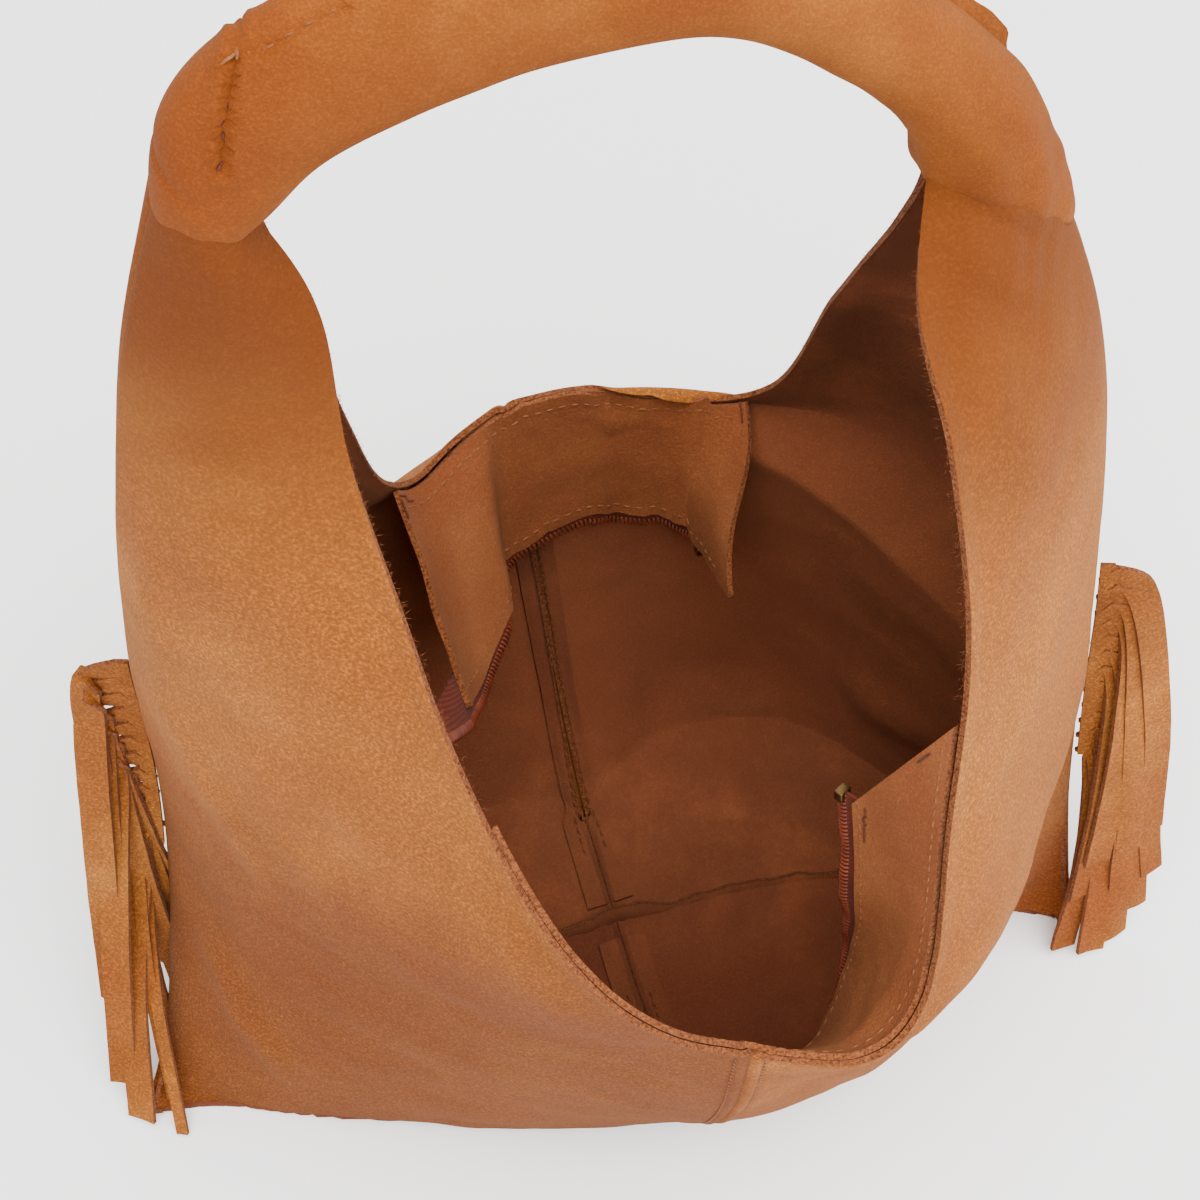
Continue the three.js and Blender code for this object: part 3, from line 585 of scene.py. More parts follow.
def brass_finish():
    finish = Finish("aged_brass")
    finish.set(Metallic=1.0)
    wear_and_painted_shading = finish.noise(260, 5, 0.6)
    tarnish = ((0.3, tint(82, 60, 36)), (0.6, tint(128, 100, 62)), (0.8, tint(158, 130, 88)))
    finish.colour(finish.ramp(wear_and_painted_shading, tarnish))
    rough = finish.ramp(wear_and_painted_shading, ((0.3, grey(0.5)), (0.8, grey(0.26))))
    finish.links.new(rough, finish.surface.inputs["Roughness"])
    finish.normal(finish.bump(finish.noise(900, 3), 0.15, 0.0002))
    return finish.material


TAPE = tape_finish()
COIL = coil_finish()
BRASS = brass_finish()


def mesh_of(shape, name, materials=()):
    mesh = bpy.data.meshes.new(name)
    shape.to_mesh(mesh)
    shape.free()
    for material in materials:
        mesh.materials.append(material)
    return mesh


def in_scene(name, data):
    item = bpy.data.objects.new(name, data)
    bpy.context.scene.collection.objects.link(item)
    return item


def on_bag(name, data):
    """A finished mesh or curve as a piece that rides on the bag."""
    piece = in_scene(name, data)
    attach(piece, "bag")
    return piece


def object_of(shape, name, materials):
    mesh = mesh_of(shape, name, materials)
    mesh.shade_smooth()
    return on_bag(name, mesh)


def grid_shape(points, wear_and_painted_shading=None):
    """A grid of quads through rows of points, with a UV map from 0 to 1 each way, and values by name, such as
    painted shade and painted light.
    """
    rows, columns = points.shape[:2]
    shape = bmesh.new()
    shape.loops.layers.uv.new("UVMap")
    bmesh.ops.create_grid(shape, x_segments=columns - 1, y_segments=rows - 1, size=1, calc_uvs=True)
    places = to_frame(points)
    marks = [(shape.verts.layers.float.new(name), values) for name, values in (wear_and_painted_shading or {}).items()]
    for vert in shape.verts:
        column = round((vert.co.x + 1) / 2 * (columns - 1))
        row = round((vert.co.y + 1) / 2 * (rows - 1))
        vert.co = places[row, column]
        for layer, values in marks:
            vert[layer] = values[row, column]
    return shape


def thickened(piece, thickness, inner=1, rim=2):
    """Gives a sheet its thickness about its middle, with its own finish inside and on its cut edge."""
    wall = piece.modifiers.new("thickness", "SOLIDIFY")
    wall.thickness = thickness * MM
    wall.offset = 0
    wall.material_offset = inner
    wall.material_offset_rim = rim
    graph = bpy.context.evaluated_depsgraph_get()
    solid = bpy.data.meshes.new_from_object(piece.evaluated_get(graph))
    piece.modifiers.remove(wall)
    old = piece.data
    piece.data = solid
    bpy.data.meshes.remove(old)
    solid.name = piece.name
    shape = bmesh.new()
    shape.from_mesh(solid)
    for edge in shape.edges:
        kinds = {face.material_index for face in edge.link_faces}
        edge.smooth = not (rim in kinds and len(kinds) > 1)
    shape.to_mesh(solid)
    shape.free()
    return piece


def sheet_piece(name, points, thickness, materials, wear_and_painted_shading=None):
    return thickened(object_of(grid_shape(points, wear_and_painted_shading), name, materials), thickness)


STITCH_SWAY = 0.06


def stitches(name, runs, material, length=2.5, pitch=4.0, radius=0.34):
    """Thread along runs of (points, normals): each stitch is a small bead that dips in at both ends."""
    shape = bmesh.new()
    for points, normals in runs:
        run = run_along(points, 0)
        for middle in np.arange(pitch / 2, run[-1], pitch):
            place = between(middle, run, points)
            ahead = between(middle + length / 2, run, points)
            off = unit(between(middle, run, normals))
            along = unit(ahead - place)
            side = unit(np.cross(off, along))
            off = np.cross(along, side)
            sway = STITCH_SWAY * math.sin(middle * 7.1)
            turn = Matrix((along + sway * side, side, off)).transposed().to_4x4()
            size = Matrix.Diagonal((length / 2 * MM, radius * MM, radius * MM, 1))
            lying = Matrix.Rotation(math.pi / 2, 4, "Y")
            matrix = Matrix.Translation(to_frame(place)) @ turn @ size @ lying
            bmesh.ops.create_uvsphere(shape, u_segments=6, v_segments=5, radius=1, matrix=matrix)
    return object_of(shape, name, (material,))


# Body panels
shapes = {name: panel_shape(name) for name in PANELS}
# Painted shade on each panel: how much and from which row on the leg, where the handle's shadow falls, how much
# and up to which row low down,
# # and the row, half width and strength of a pale band of painted light
LEG_SHADE_ROWS = 7
LOW_SHADE_ROWS = 8
PAINTED_SHADE_AND_LIGHT = {
    "front_left": ((0.95, 19.5), (0.75, 16), (18, 4.5, 0.35)),
    "front_right": ((0.85, 19.5), (0.3, 11), (17, 5, 0.6)),
    "back_left": ((0.6, 18), (0.1, 5), (7, 4, 0.7)),
    "back_right": ((0.6, 18), (0.1, 5), (7, 4, 0.7)),
}
for name in PANELS:
    points, _, _, t = shapes[name]
    row = t * ROWS
    (leg, leg_row), (low, low_row), (middle, half, most) = PAINTED_SHADE_AND_LIGHT[name]
    on_leg = leg * smooth((row - leg_row) / LEG_SHADE_ROWS)
    wear_and_painted_shading = {
        # painted shade: on the legs where the handle's shadow falls, and darker towards the bottom
        "painted_shade": on_leg + low * smooth((low_row - row) / LOW_SHADE_ROWS),
        "calm": on_leg,
        # a pale band of painted light across the panel
        "painted_light_band": most * hump(row, half, middle),
    }
    piece = sheet_piece(f"{name}_suede", points, SUEDE, (OUTER, INNER, EDGE), wear_and_painted_shading)
    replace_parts(piece, f"{name}_panel")


def inner_column(name):
    """The centre seam and mouth edge of a panel, from the bottom seam up: points, normals and rows."""
    points, normals, s, t = shapes[name]
    column = int(np.argmax(s[0]))
    return points[:, column], normals[:, column], t[:, column] * ROWS


def inset_run(name, distance, lowest, highest, lift):
    """A line on a panel at a distance from its centre seam or mouth edge, lifted off along the normals."""
    points, normals, s, t = shapes[name]
    across = run_along(points, 1)
    to_inner = across if s[0, 0] > 0.5 else across[:, -1:] - across
    row = t[:, 0] * ROWS
    keep = np.flatnonzero((row >= lowest) & (row <= highest))
    run, off = [], []
    for k in keep:
        order = np.argsort(to_inner[k])
        run.append(between(distance, to_inner[k][order], points[k, order]))
        off.append(between(distance, to_inner[k][order], normals[k, order]))
    flat = (1 - smooth((row[keep] - 0.4) / 1.6))[:, None]
    off = unit((1 - flat) * unit(off) - flat * UP)
    return np.array(run) + lift * off, off * np.sign(lift)


# Zip facings
FACING_SPAN = {"front": (8, 10), "back": (4, 5)}
# Which way each part of a facing hangs, from its left end at 0 to its right end at 1
HANG = {
    "front": [
        (0, (-0.09, 0.25, -0.96)), (0.2, (-0.12, 0.3, -0.94)), (0.4, (0, 0.24, -0.97)),
        (0.6, (-0.13, 0.3, -0.94)), (0.8, (-0.19, 0.19, -0.96)), (1, (-0.31, 0.12, -0.94)),
    ],
    "back": [
        (0, (0.077, -0.906, -0.415)), (0.345, (-0.01, -0.67, -0.742)), (0.39, (-0.096, -0.335, -0.937)),
        (0.46, (0.041, -0.257, -0.966)), (0.57, (0.058, -0.219, -0.974)), (0.68, (0.006, -0.199, -0.98)),
        (0.8, (-0.064, -0.223, -0.972)), (0.9, (-0.187, -0.35, -0.918)), (1, (-0.307, -0.845, -0.438)),
    ],
}
HANG_EASE = 3
# How much deeper than its usual depth each part of a facing was cut
DEEPER = {
    "front": [(0, 1), (1, 1)],
    "back": [(0, 1.14), (0.34, 1), (0.72, 1), (0.86, 0.88), (0.94, 0.88), (1, 1.07)],
}


def eased(rows, count):
    """Rows of values averaged over a number of neighbours, with the end rows kept on beyond the ends."""
    padded = np.pad(rows, ((count // 2, count // 2), (0, 0)), mode="edge")
    share = np.full(count, 1 / count)
    return np.stack([np.convolve(padded[:, k], share, "valid") for k in range(rows.shape[1])], axis=-1)


def hanging(face, share):
    """The way that a facing hangs at shares of its length."""
    places, ways = zip(*HANG[face])
    return unit(eased(between(share, places, np.array(ways)), HANG_EASE))


def facing_frame(face):
    """A facing's sewn top from its left end to its right: points, ways of hanging and shares of its length."""
    left_rows, right_rows = FACING_SPAN[face]
    tops, rows = [], []
    for side, count in (("left", left_rows), ("right", right_rows)):
        points, normals, row = inner_column(f"{face}_{side}")
        keep = (row >= RIM_ROW) & (row <= RIM_ROW + count + 1e-6)
        top = points[keep] - (SUEDE + PLY_GAP) * normals[keep]
        along = row[keep] - RIM_ROW
        if side == "left":
            top, along = top[::-1], -along[::-1]
        else:
            top, along = top[1:], along[1:]
        tops.append(top)
        rows.append(along)
    tops = np.vstack(tops)
    share = (np.concatenate(rows) + left_rows) / (left_rows + right_rows)
    return tops, hanging(face, share), share


FACING_STEPS = 40
INSIDE_REACH = 8.0


def inside_of(points, names, clearance, share):
    """Points moved, by a share of what they need, to lie inside panels by at least a clearance."""
    moved = points.reshape(-1, 3).copy()
    for name in names:
        grid, normals, _, _ = shapes[name]
        rows, columns = grid.shape[:2]
        number = np.arange(rows * columns).reshape(rows, columns)
        corners = (number[:-1, :-1], number[:-1, 1:], number[1:, 1:], number[1:, :-1])
        quads = np.stack(corners, axis=-1).reshape(-1, 4)
        tree = BVHTree.FromPolygons(grid.reshape(-1, 3).tolist(), quads.tolist())
        for k, point in enumerate(moved):
            place, _, face, gap = tree.find_nearest(Vector(point))
            out = normals[divmod(int(quads[face][0]), columns)]
            off = (point - np.array(place)) @ out
            if gap < INSIDE_REACH and off > -clearance:
                moved[k] = point - share.flat[k] * (off + clearance) * out
    return moved.reshape(points.shape)


FACING_HELD = 18
FACING_WAVES = ((1.2, 34, 40), (0.4, 12, 41))
FLAP_START = 0.86
FLAP_SWAY = 2.0
FREE_FROM, FREE_OVER = 5, 12
# The front facing is tucked in where the wall behind it turns the corner, at a pixel of the photograph
TUCK = 5.0
TUCK_PIXEL = (875, 1005)
TUCK_SPREAD = 75
facing_grids = {}
shares = {}
for face in ("front", "back"):
    tops, hang, share = facing_frame(face)
    depth = np.linspace(0, FACING_DEPTH, FACING_STEPS + 1)[:, None] * np.interp(share, *zip(*DEEPER[face]))
    points = tops + depth[..., None] * hang
    lift = smooth(depth / FACING_HELD) * sum(height * ripple(points, *wave) for height, *wave in FACING_WAVES)
    points = points + lift[..., None] * grid_normals(points)
    if face == "back":
        flap = smooth((share - FLAP_START) / (1 - FLAP_START))
        points[..., 0] += FLAP_SWAY * flap * np.sin(2 * np.pi * depth / depth[-1])
        free = smooth((depth - FREE_FROM) / FREE_OVER)
        points = inside_of(points, ("back_left", "back_right"), SUEDE + PLY_GAP, free)
    else:
        near = hump(np.linalg.norm(pixels_of(points) - TUCK_PIXEL, axis=-1), TUCK_SPREAD)
        inwards = unit(points * (-1, -1, 0))
        points = points + (TUCK * near * smooth(depth / FREE_OVER))[..., None] * inwards
    facing_grids[face] = (points, grid_normals(points))
    shares[face] = share
    seen = points[:, ::-1] if face == "back" else points
    piece = sheet_piece(f"{face}_facing_suede", seen, SUEDE, (FACING, FACING, EDGE))
    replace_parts(piece, f"{face}_zip_facing")


# Zip tapes, coils and the clips at their ends. The tapes meet in the slider, where the part has it.
SLIDER_LENGTH = 11.0
SLIDER_SPOT = (-0.46, -0.06, 1.11)
SLIDER_ALONG = unit((0.98, -0.13, -0.14))
SLIDER_ACROSS = np.array((0.17, 0.65, -0.74))
SLIDER_ACROSS = unit(SLIDER_ACROSS - (SLIDER_ACROSS @ SLIDER_ALONG) * SLIDER_ALONG)
STOP_LENGTH = 3.0
STOP_HEIGHT = 1.2
STOP_BEVEL = 0.4
TAPE_TAIL = 14.0
TAPE_LEAD = 4.0
TAPE_EDGE = 1.4
TAPE_SHOWING = 3.4
FLAP_TUCK = 10.0
FLAP_STATIONS = {"front": 0, "back": 6}
TAPE_STEPS = 8
TAPE_WEAVES = 9
TAPE_EASE = 9
COIL_START = TAPE_STEPS * 3 + 1
COIL_SIDES = 10
COIL_WIRE = 0.42
COIL_LOOP = (1.5, 0.5, 0.8)


def tape_edges(face):
    """A tape's coil edge and sewn edge: through the slider, then along the facing's lower edge."""
    points, _ = facing_grids[face]
    used = len(points[-1]) - FLAP_STATIONS[face]
    points = points[:, :used]
    low = points[-1]
    along = unit(eased(np.gradient(low, axis=0), TAPE_EASE))
    fall = unit(low - points[-6])
    fall = unit(fall - np.sum(fall * along, axis=1, keepdims=True) * along)
    wall = unit(np.cross(along, fall))
    if np.mean(np.sum(wall * (low - low[:, 2].mean() * UP), axis=1)) < 0:
        wall = -wall
    tucked = FLAP_TUCK * smooth((shares[face] - 0.9) / 0.08) if face == "back" else 0 * shares[face]
    showing = (TAPE_SHOWING - tucked)[:used, None]
    seat = (SUEDE / 2 + TAPE_SEAT + TAPE_THICKNESS / 2) * wall
    edges = (low + showing * fall + seat, low - (TAPE_WIDTH - showing) * fall + seat)
    kept = np.unique(np.append(np.arange(0, used, 4), used - 1))
    through = (-TAPE_TAIL, 0.0, SLIDER_LENGTH, SLIDER_LENGTH + TAPE_LEAD)
    apart = (TAPE_EDGE, TAPE_EDGE, TAPE_EDGE, COIL_DIAMETER + 2 * PLY_GAP)
    across = (-1 if face == "front" else 1) * SLIDER_ACROSS
    place = spots([SLIDER_SPOT])[0]
    stations = np.linspace(0, 1, TAPE_STEPS * (len(through) + len(kept) - 1) + 1)
    lines = []
    for edge, width in zip(edges, (0.0, TAPE_WIDTH)):
        in_slider = [place + a * SLIDER_ALONG + (b + width) * across for a, b in zip(through, apart)]
        lines.append(Line(np.vstack((in_slider, edge[kept]))).by_number(stations))
    return lines


def coil_curve(name, spine, outwards):
    """A nylon coil as one wire, wound round a spine."""
    run = run_along(spine, 0)
    turns = int((run[-1] - run[COIL_START]) / COIL_PITCH)
    angle = np.linspace(0, 2 * np.pi * turns, COIL_SIDES * turns + 1)
    reach = run[COIL_START] + angle / (2 * np.pi) * COIL_PITCH
    where, out = between(reach, run, spine), unit(between(reach, run, outwards))
    side = unit(np.cross(np.gradient(where, axis=0), out))
    tall, back, wide = COIL_LOOP
    loop = tall * np.cos(angle)[:, None] * out - back * out + wide * np.sin(angle)[:, None] * side
    loop = where + (COIL_DIAMETER / 2 - COIL_WIRE) * loop
    curve = bpy.data.curves.new(name, "CURVE")
    curve.dimensions = "3D"
    curve.bevel_depth = COIL_WIRE * MM
    curve.bevel_resolution = 1
    curve.use_fill_caps = True
    spline = curve.splines.new("POLY")
    spline.points.add(len(loop) - 1)
    spline.points.foreach_set("co", np.hstack((to_frame(loop), np.ones((len(loop), 1)))).ravel())
    curve.materials.append(COIL)
    return curve


def zip_clip(spine, outwards):
    """The folded metal clip that ends a coil."""
    ahead = unit(spine[-1] - spine[-4])
    sideways = unit(np.cross(ahead, outwards[-1]))
    turned = Matrix((np.cross(sideways, ahead), sideways, ahead)).transposed().to_4x4()
    size = Matrix.Diagonal((COIL_DIAMETER * MM, (COIL_DIAMETER + STOP_HEIGHT) * MM, STOP_LENGTH * MM, 1))
    place = Matrix.Translation(to_frame(spine[-1] - 0.4 * STOP_LENGTH * ahead - 0.4 * outwards[-1]))
    shape = bmesh.new()
    bmesh.ops.create_cube(shape, size=1, matrix=place @ turned @ size)
    bmesh.ops.bevel(
        shape, geom=shape.edges[:], offset=STOP_BEVEL * MM, affect="EDGES", segments=3, profile=0.5, material=-1,
    )
    return shape


for face in ("front", "back"):
    edge, sewn_edge = tape_edges(face)
    grid = edge + np.linspace(0, 1, TAPE_WEAVES)[:, None, None] * (sewn_edge - edge)
    piece = sheet_piece(f"{face}_tape_weave", grid, TAPE_THICKNESS, (TAPE, TAPE, TAPE))
    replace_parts(piece, f"{face}_zip_tape")
    outwards = unit(edge - sewn_edge)
    spine = edge + (COIL_DIAMETER / 2 + PLY_GAP) * outwards
    name = f"{face}_coil_turns"
    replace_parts(on_bag(name, coil_curve(name, spine, outwards)), f"{face}_zip_coil")
    clip = object_of(zip_clip(spine, outwards), f"{face}_zip_clip", (BRASS,))
    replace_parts(clip, f"{face}_zip_top_stop")


# Rolled handle: it runs on over the legs, further on its outer side, and ends in a soft lip
HANDLE_STEPS = 170
HANDLE_SIDES = 72
CUFF_STEPS = 14
CUFF_REACH = {"left": (1.5, 9.0), "right": (2.0, 24.0)}
CUFF_WAY = unit((-0.35, -0.1, -1.0))
INNER_CUT = 12.0
COVER = (0.9, 2.4)
LIP = 0.16
# Sewn lines on the handle, as pixels of the photograph
DART = [(220, 172), (224, 120), (231, 66)]
TACK = (231, 62)
DART_TOP = [(232, 62), (236, 30), (238, -20)]
ROLL_SEAM = [(236, 60), (282, 40), (345, 4)]
ROLL_SEAM_END = [(925, -56), (970, 2), (1000, 40), (1022, 80)]


def handle_points():
    """Rings of points from the left cuff to the right one. The roll stands taller on its outer side."""
    u = np.linspace(0, 1, HANDLE_STEPS + 1)
    angle = np.linspace(0, 2 * np.pi, HANDLE_SIDES + 1)
    outer = ((1 + np.cos(angle)) / 2) ** 1.5
    tangents = HANDLE_LINE.towards(np.clip(u, 0.004, 0.996))
    centres = HANDLE_LINE.at(u)
    out = unit(np.cross(tangents, (0.0, 1.0, 0.0)))
    aside = np.cross(tangents, out)
    flare = HANDLE_FLARE * np.sin(np.pi * np.clip((u - 0.01) / 0.59, 0, 1) ** 0.7)
    cover = COVER[0] * smooth((0.1 - u) / 0.1) + COVER[1] * smooth((u - 0.8) / 0.2)
    radius = HANDLE_RADIUS + cover
    slant = -INNER_CUT * smooth((u - 0.78) / 0.22)[:, None] * (1 - outer)

    def ring(k, run_on, size):
        tall = (size + np.where(np.cos(angle) > 0, flare[k], 0)) * np.cos(angle)
        points = centres[k] + tall[:, None] * out[k] + (size * np.sin(angle))[:, None] * aside[k]
        return points + slant[k][:, None] * tangents[k] + run_on

    rings = [ring(k, 0, radius[k]) for k in range(len(u))]
    for share in np.linspace(0, 1, CUFF_STEPS + 1)[1:]:
        lip = 1 - LIP * share**2
        for side, k, way in (("left", 0, CUFF_WAY), ("right", -1, tangents[-1])):
            least, more = CUFF_REACH[side]
            run_on = (share * (least + more * outer))[:, None] * way
            piece = ring(k, run_on, radius[k] * lip)
            rings = [piece, *rings] if side == "left" else [*rings, piece]
    return np.array(rings)


def nearest_on(points, normals, pixel):
    """Row and column of the grid point that shows nearest to a pixel, on the side that faces the camera."""
    off = np.linalg.norm(pixels_of(points) - np.asarray(pixel, float), axis=-1)
    off = np.where(normals @ VIEW_BACK > 0.05, off, FAR)
    return np.array(np.unravel_index(np.argmin(off), off.shape), float)


def path_between(pixels, steps=12):
    """Pixels closely spaced along the straight lines between a few."""
    pixels = np.asarray(pixels, float)
    share = np.linspace(0, len(pixels) - 1, steps * (len(pixels) - 1) + 1)
    return between(share, np.arange(len(pixels)), pixels)


def groove(points, normals, pixels, depth, half_width):
    """A crease along a line of pixels, with small puckers beside it, as heights on a grid of points."""
    where = pixels_of(points)
    line = path_between(pixels, 24)
    off = np.full(where.shape[:2], FAR)
    place = np.zeros(where.shape[:2])
    for k, pixel in enumerate(line):
        apart = np.linalg.norm(where - pixel, axis=-1)
        place = np.where(apart < off, k, place)
        off = np.minimum(off, apart)
    facing = smooth((normals @ VIEW_BACK) / 0.3)
    puckers = hump(off, 1.4 * half_width, 2.4 * half_width) * (1 + 0.4 * np.sin(place * 1.1))
    return (0.5 * depth * puckers - depth * hump(off, half_width)) * facing


def tube_normals(points):
    """Normals of a grid whose first and last columns are the same line."""
    wrapped = np.concatenate((points[:, -2:-1], points, points[:, 1:2]), axis=1)
    return grid_normals(wrapped)[:, 1:-1]


points = handle_points()
normals = tube_normals(points)
if np.mean(np.sum(normals * (points - points.mean(axis=1, keepdims=True)), axis=-1)) < 0:
    points = points[:, ::-1]
    normals = tube_normals(points)
reach = np.linspace(0, 1, len(points))
near_end = (0.25 * smooth(1 - reach / 0.2) + smooth((reach - 0.72) / 0.28))[:, None]
lift = 0.9 * ripple(points, 34, 51) + 0.35 * ripple(points, 13, 52)
pleats = np.linspace(0, 2 * np.pi, HANDLE_SIDES + 1) * 7 + 6 * ripple(points, 42, 53)
lift = lift + near_end * (0.45 * np.sin(pleats) + 0.5 * ripple(points, 7, 54))
lift += groove(points, normals, DART, 1.7, 4.5) + groove(points, normals, DART_TOP, 1.0, 4.0)
lift += groove(points, normals, ROLL_SEAM, 0.9, 4.0)
lift[:, -1] = lift[:, 0]
points = points + lift[..., None] * normals
normals = tube_normals(points)
shape = grid_shape(points)
bmesh.ops.remove_doubles(shape, verts=shape.verts, dist=1e-6)
bmesh.ops.holes_fill(shape, edges=[edge for edge in shape.edges if edge.is_boundary], sides=0)
bmesh.ops.recalc_face_normals(shape, faces=shape.faces)
handle = object_of(shape, "handle_suede", (ROLL,))
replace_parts(handle, "handle_roll")


LEAST_STEP = 2.5


def handle_run(places, lift):
    """A smooth run on the handle through (row, column) places, lifted off it: points and normals."""
    rows, columns = (np.clip(np.round(places[:, k]).astype(int), 0, points.shape[k] - 1) for k in range(2))
    where, off = points[rows, columns], normals[rows, columns]
    kept = [0]
    for k in range(1, len(where)):
        if np.linalg.norm(where[k] - where[kept[-1]]) > LEAST_STEP or k == len(where) - 1 > kept[-1] == 0:
            kept.append(k)
    share = np.linspace(0, 1, 80)
    place = share * (len(kept) - 1)
    off = unit(between(place, np.arange(len(kept)), off[kept]))
    return Line(where[kept]).by_number(share) + lift * off, off


def handle_places(pixels):
    return np.array([nearest_on(points, normals, pixel) for pixel in path_between(pixels)])


dart_runs = [handle_run(handle_places(DART), -0.1)]
stitches("handle_dart_thread", dart_runs, DARK_THREAD, 2.2, 3.2, 0.42)
top_runs = [handle_run(handle_places(DART_TOP), 0.0), handle_run(handle_places(ROLL_SEAM), 0.0)]
stitches("handle_seam_thread", top_runs, TAN_THREAD, 2.4, 4.2, 0.36)
row, column = nearest_on(points, normals, TACK).astype(int)
ahead = unit(points[row + 1, column] - points[row - 1, column])
tack_run = points[row, column] + 0.3 * normals[row, column] + np.linspace(-1.8, 1.8, 9)[:, None] * ahead
tack_off = np.repeat(normals[row, column][None], 9, axis=0)
stitches("handle_tack_thread", [(tack_run, tack_off)], PALE_THREAD, 2.0, 0.8, 0.36)

# The roll's sewn raw edges stand along its outer side
ends = np.array([nearest_on(points, normals, pixel) for pixel in ROLL_SEAM_END]).astype(int)
ridge_rows = np.arange(ends[0, 0], ends[-1, 0] + 1)
ridge_column = int(np.median(ends[:, 1]))
ridge_run, ridge_off = points[ridge_rows, ridge_column], normals[ridge_rows, ridge_column]
share = np.linspace(0, 1, len(ridge_run))
height = (0.6 + 2.2 * smooth(share / 0.35)) * smooth((1 - share) / 0.1) + 0.1
height += 0.4 * ripple(ridge_run, 4, 57)
levels = np.linspace(-0.4, 1, 5)
ridge = ridge_run[:, None] + (levels[None, :] * height[:, None])[..., None] * ridge_off[:, None]
piece = sheet_piece("handle_raw_seam", ridge, 1.3 * SUEDE, (ROLL, ROLL, EDGE))


# Fringe strips: each leaves the side seam edgeways, turns and hangs to its own tip
STRIP_WIDTH = 8.4
STRIP_THICKNESS = 1.4
STRIP_PITCH = 8.5
FRINGE_FOOT = 98.0
BAND_WIDTH = 4.0
FRINGE_CLEARANCE = SUEDE / 2 + 2 * PLY_GAP
FRINGE_OUT = {"left": unit((-0.95, 0.3, 0)), "right": unit((0.95, -0.31, 0))}
STRIP_ACROSS = {"left": unit((0.85, -0.5, 0)), "right": unit((0.97, 0.12, 0))}
NARROW_STRIPS = {("left", 0): 0.45, ("left", 2): 0.45}
# Where each strip's tip shows in the photograph, in pixels, and its height over the floor
STRIP_TIPS = {
    "left": [
        (183, 1133, 2), (140, 1118, 4), (170, 1098, 7), (160, 1024, 20), (181, 986, 26), (198, 966, 28),
        (126, 1082, 12), (178, 964, 40), (130, 1008, 30), (189, 911, 56), (118, 1000, 36), (146, 908, 60),
    ],
    "right": [
        (1062, 946, 5), (1092, 950, 4), (1118, 935, 5), (1072, 925, 16), (1104, 918, 16), (1134, 905, 16),
        (1080, 895, 34), (1116, 886, 34), (1146, 870, 34), (1092, 862, 54), (1126, 850, 54), (1150, 830, 58),
    ],
}


def fringe(side):
    """Strips and the sewn band that they are cut from, as one sheet."""
    out, hung = FRINGE_OUT[side], STRIP_ACROSS[side]
    seam = side_seam(side).fine

    def seam_at(height):
        return np.append(between(height, seam[:, 2], seam[:, :2]), height)

    grids = []
    for i, (across, down, tip_height) in enumerate(STRIP_TIPS[side]):
        root_height = FRINGE_FOOT + (i + 0.5) * STRIP_PITCH
        root = seam_at(root_height) + (FRINGE_CLEARANCE + BAND_WIDTH / 2) * out
        sightline = sight((across, down))
        tip = VIEW_PLACE + sightline * (tip_height - VIEW_PLACE[2]) / sightline[2]
        turned = root + (5 + 0.5 * i) * out - 9 * UP
        middle = turned + 0.5 * (tip - turned) + (2.5 + 1.5 * math.sin(3.1 * i)) * out
        end = tip + (1.5 * math.sin(5.7 * i)) * out
        line = Line([root, root + (3.5 + 0.2 * i) * out - 2.5 * UP, turned, middle, end])
        v = np.linspace(0, 1, 57)
        w = np.linspace(-1, 1, 9)
        half = STRIP_WIDTH / 2 * (1 + 0.1 * math.sin(7.7 * i)) * NARROW_STRIPS.get((side, i), 1)
        twist = (0.5 * np.pi * smooth(v / 0.22) + 0.3 * math.sin(4.1 * i) * v**2)[:, None]
        direction = np.cos(twist) * UP + np.sin(twist) * hung
        along = line.towards(v)
        direction = unit(direction - np.sum(direction * along, axis=1, keepdims=True) * along)
        face = np.cross(along, direction)
        cup = 0.5 * (w**2 - 0.4)[None, :] * (math.sin(2.3 * i) * v)[:, None]
        grid = line.at(v)[:, None] + half * w[None, :, None] * direction[:, None]
        cup = cup + 0.25 * ripple(grid, 9, 70 + i)
        grid = grid + cup[..., None] * face[:, None]
        grid[-1] += (0.9 * math.sin(9.1 * i) * w)[:, None] * along[-1]
        grid[..., 2] = np.maximum(grid[..., 2], STRIP_THICKNESS)
        grids.append(grid)
    heights = FRINGE_FOOT + np.linspace(0, len(grids) * STRIP_PITCH, 60)
    reaches = np.linspace(FRINGE_CLEARANCE, FRINGE_CLEARANCE + BAND_WIDTH, 4)
    grids.append(np.array([[seam_at(height) + reach * out for reach in reaches] for height in heights]))
    shape = bmesh.new()
    for grid in grids:
        mesh = mesh_of(grid_shape(grid), "strip")
        shape.from_mesh(mesh)
        bpy.data.meshes.remove(mesh)
    piece = object_of(shape, f"{side}_fringe_suede", (OUTER, OUTER, EDGE))
    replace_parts(thickened(piece, STRIP_THICKNESS), f"{side}_fringe")
    return piece


fringes = {side: fringe(side) for side in ("left", "right")}


# Seam allowances pressed open inside along the centre seams
ALLOWANCE = 8.5
for name in PANELS:
    lines = [inset_run(name, d, 0.14, RIM_ROW, -(SUEDE + 0.1))[0] for d in np.linspace(0.9, ALLOWANCE, 9)]
    grid = np.stack(lines, axis=1)
    sheet_piece(f"{name}_allowance", grid, SUEDE * 0.8, (INNER, INNER, INNER))

# Topstitching along both sides of the centre seams, outside and inside
outside_rows = [inset_run(name, STITCH_ROW, 0.4, RIM_ROW - 0.1, SUEDE / 2 + 0.1) for name in PANELS]
inside_rows = [inset_run(name, STITCH_ROW, 0.8, RIM_ROW - 0.1, -(2.25 * SUEDE + 0.1)) for name in PANELS]
stitches("centre_seam_thread", outside_rows, TAN_THREAD, 2.4, 3.6)
stitches("centre_seam_inner_thread", inside_rows, TAN_THREAD, 2.2, 3.6)

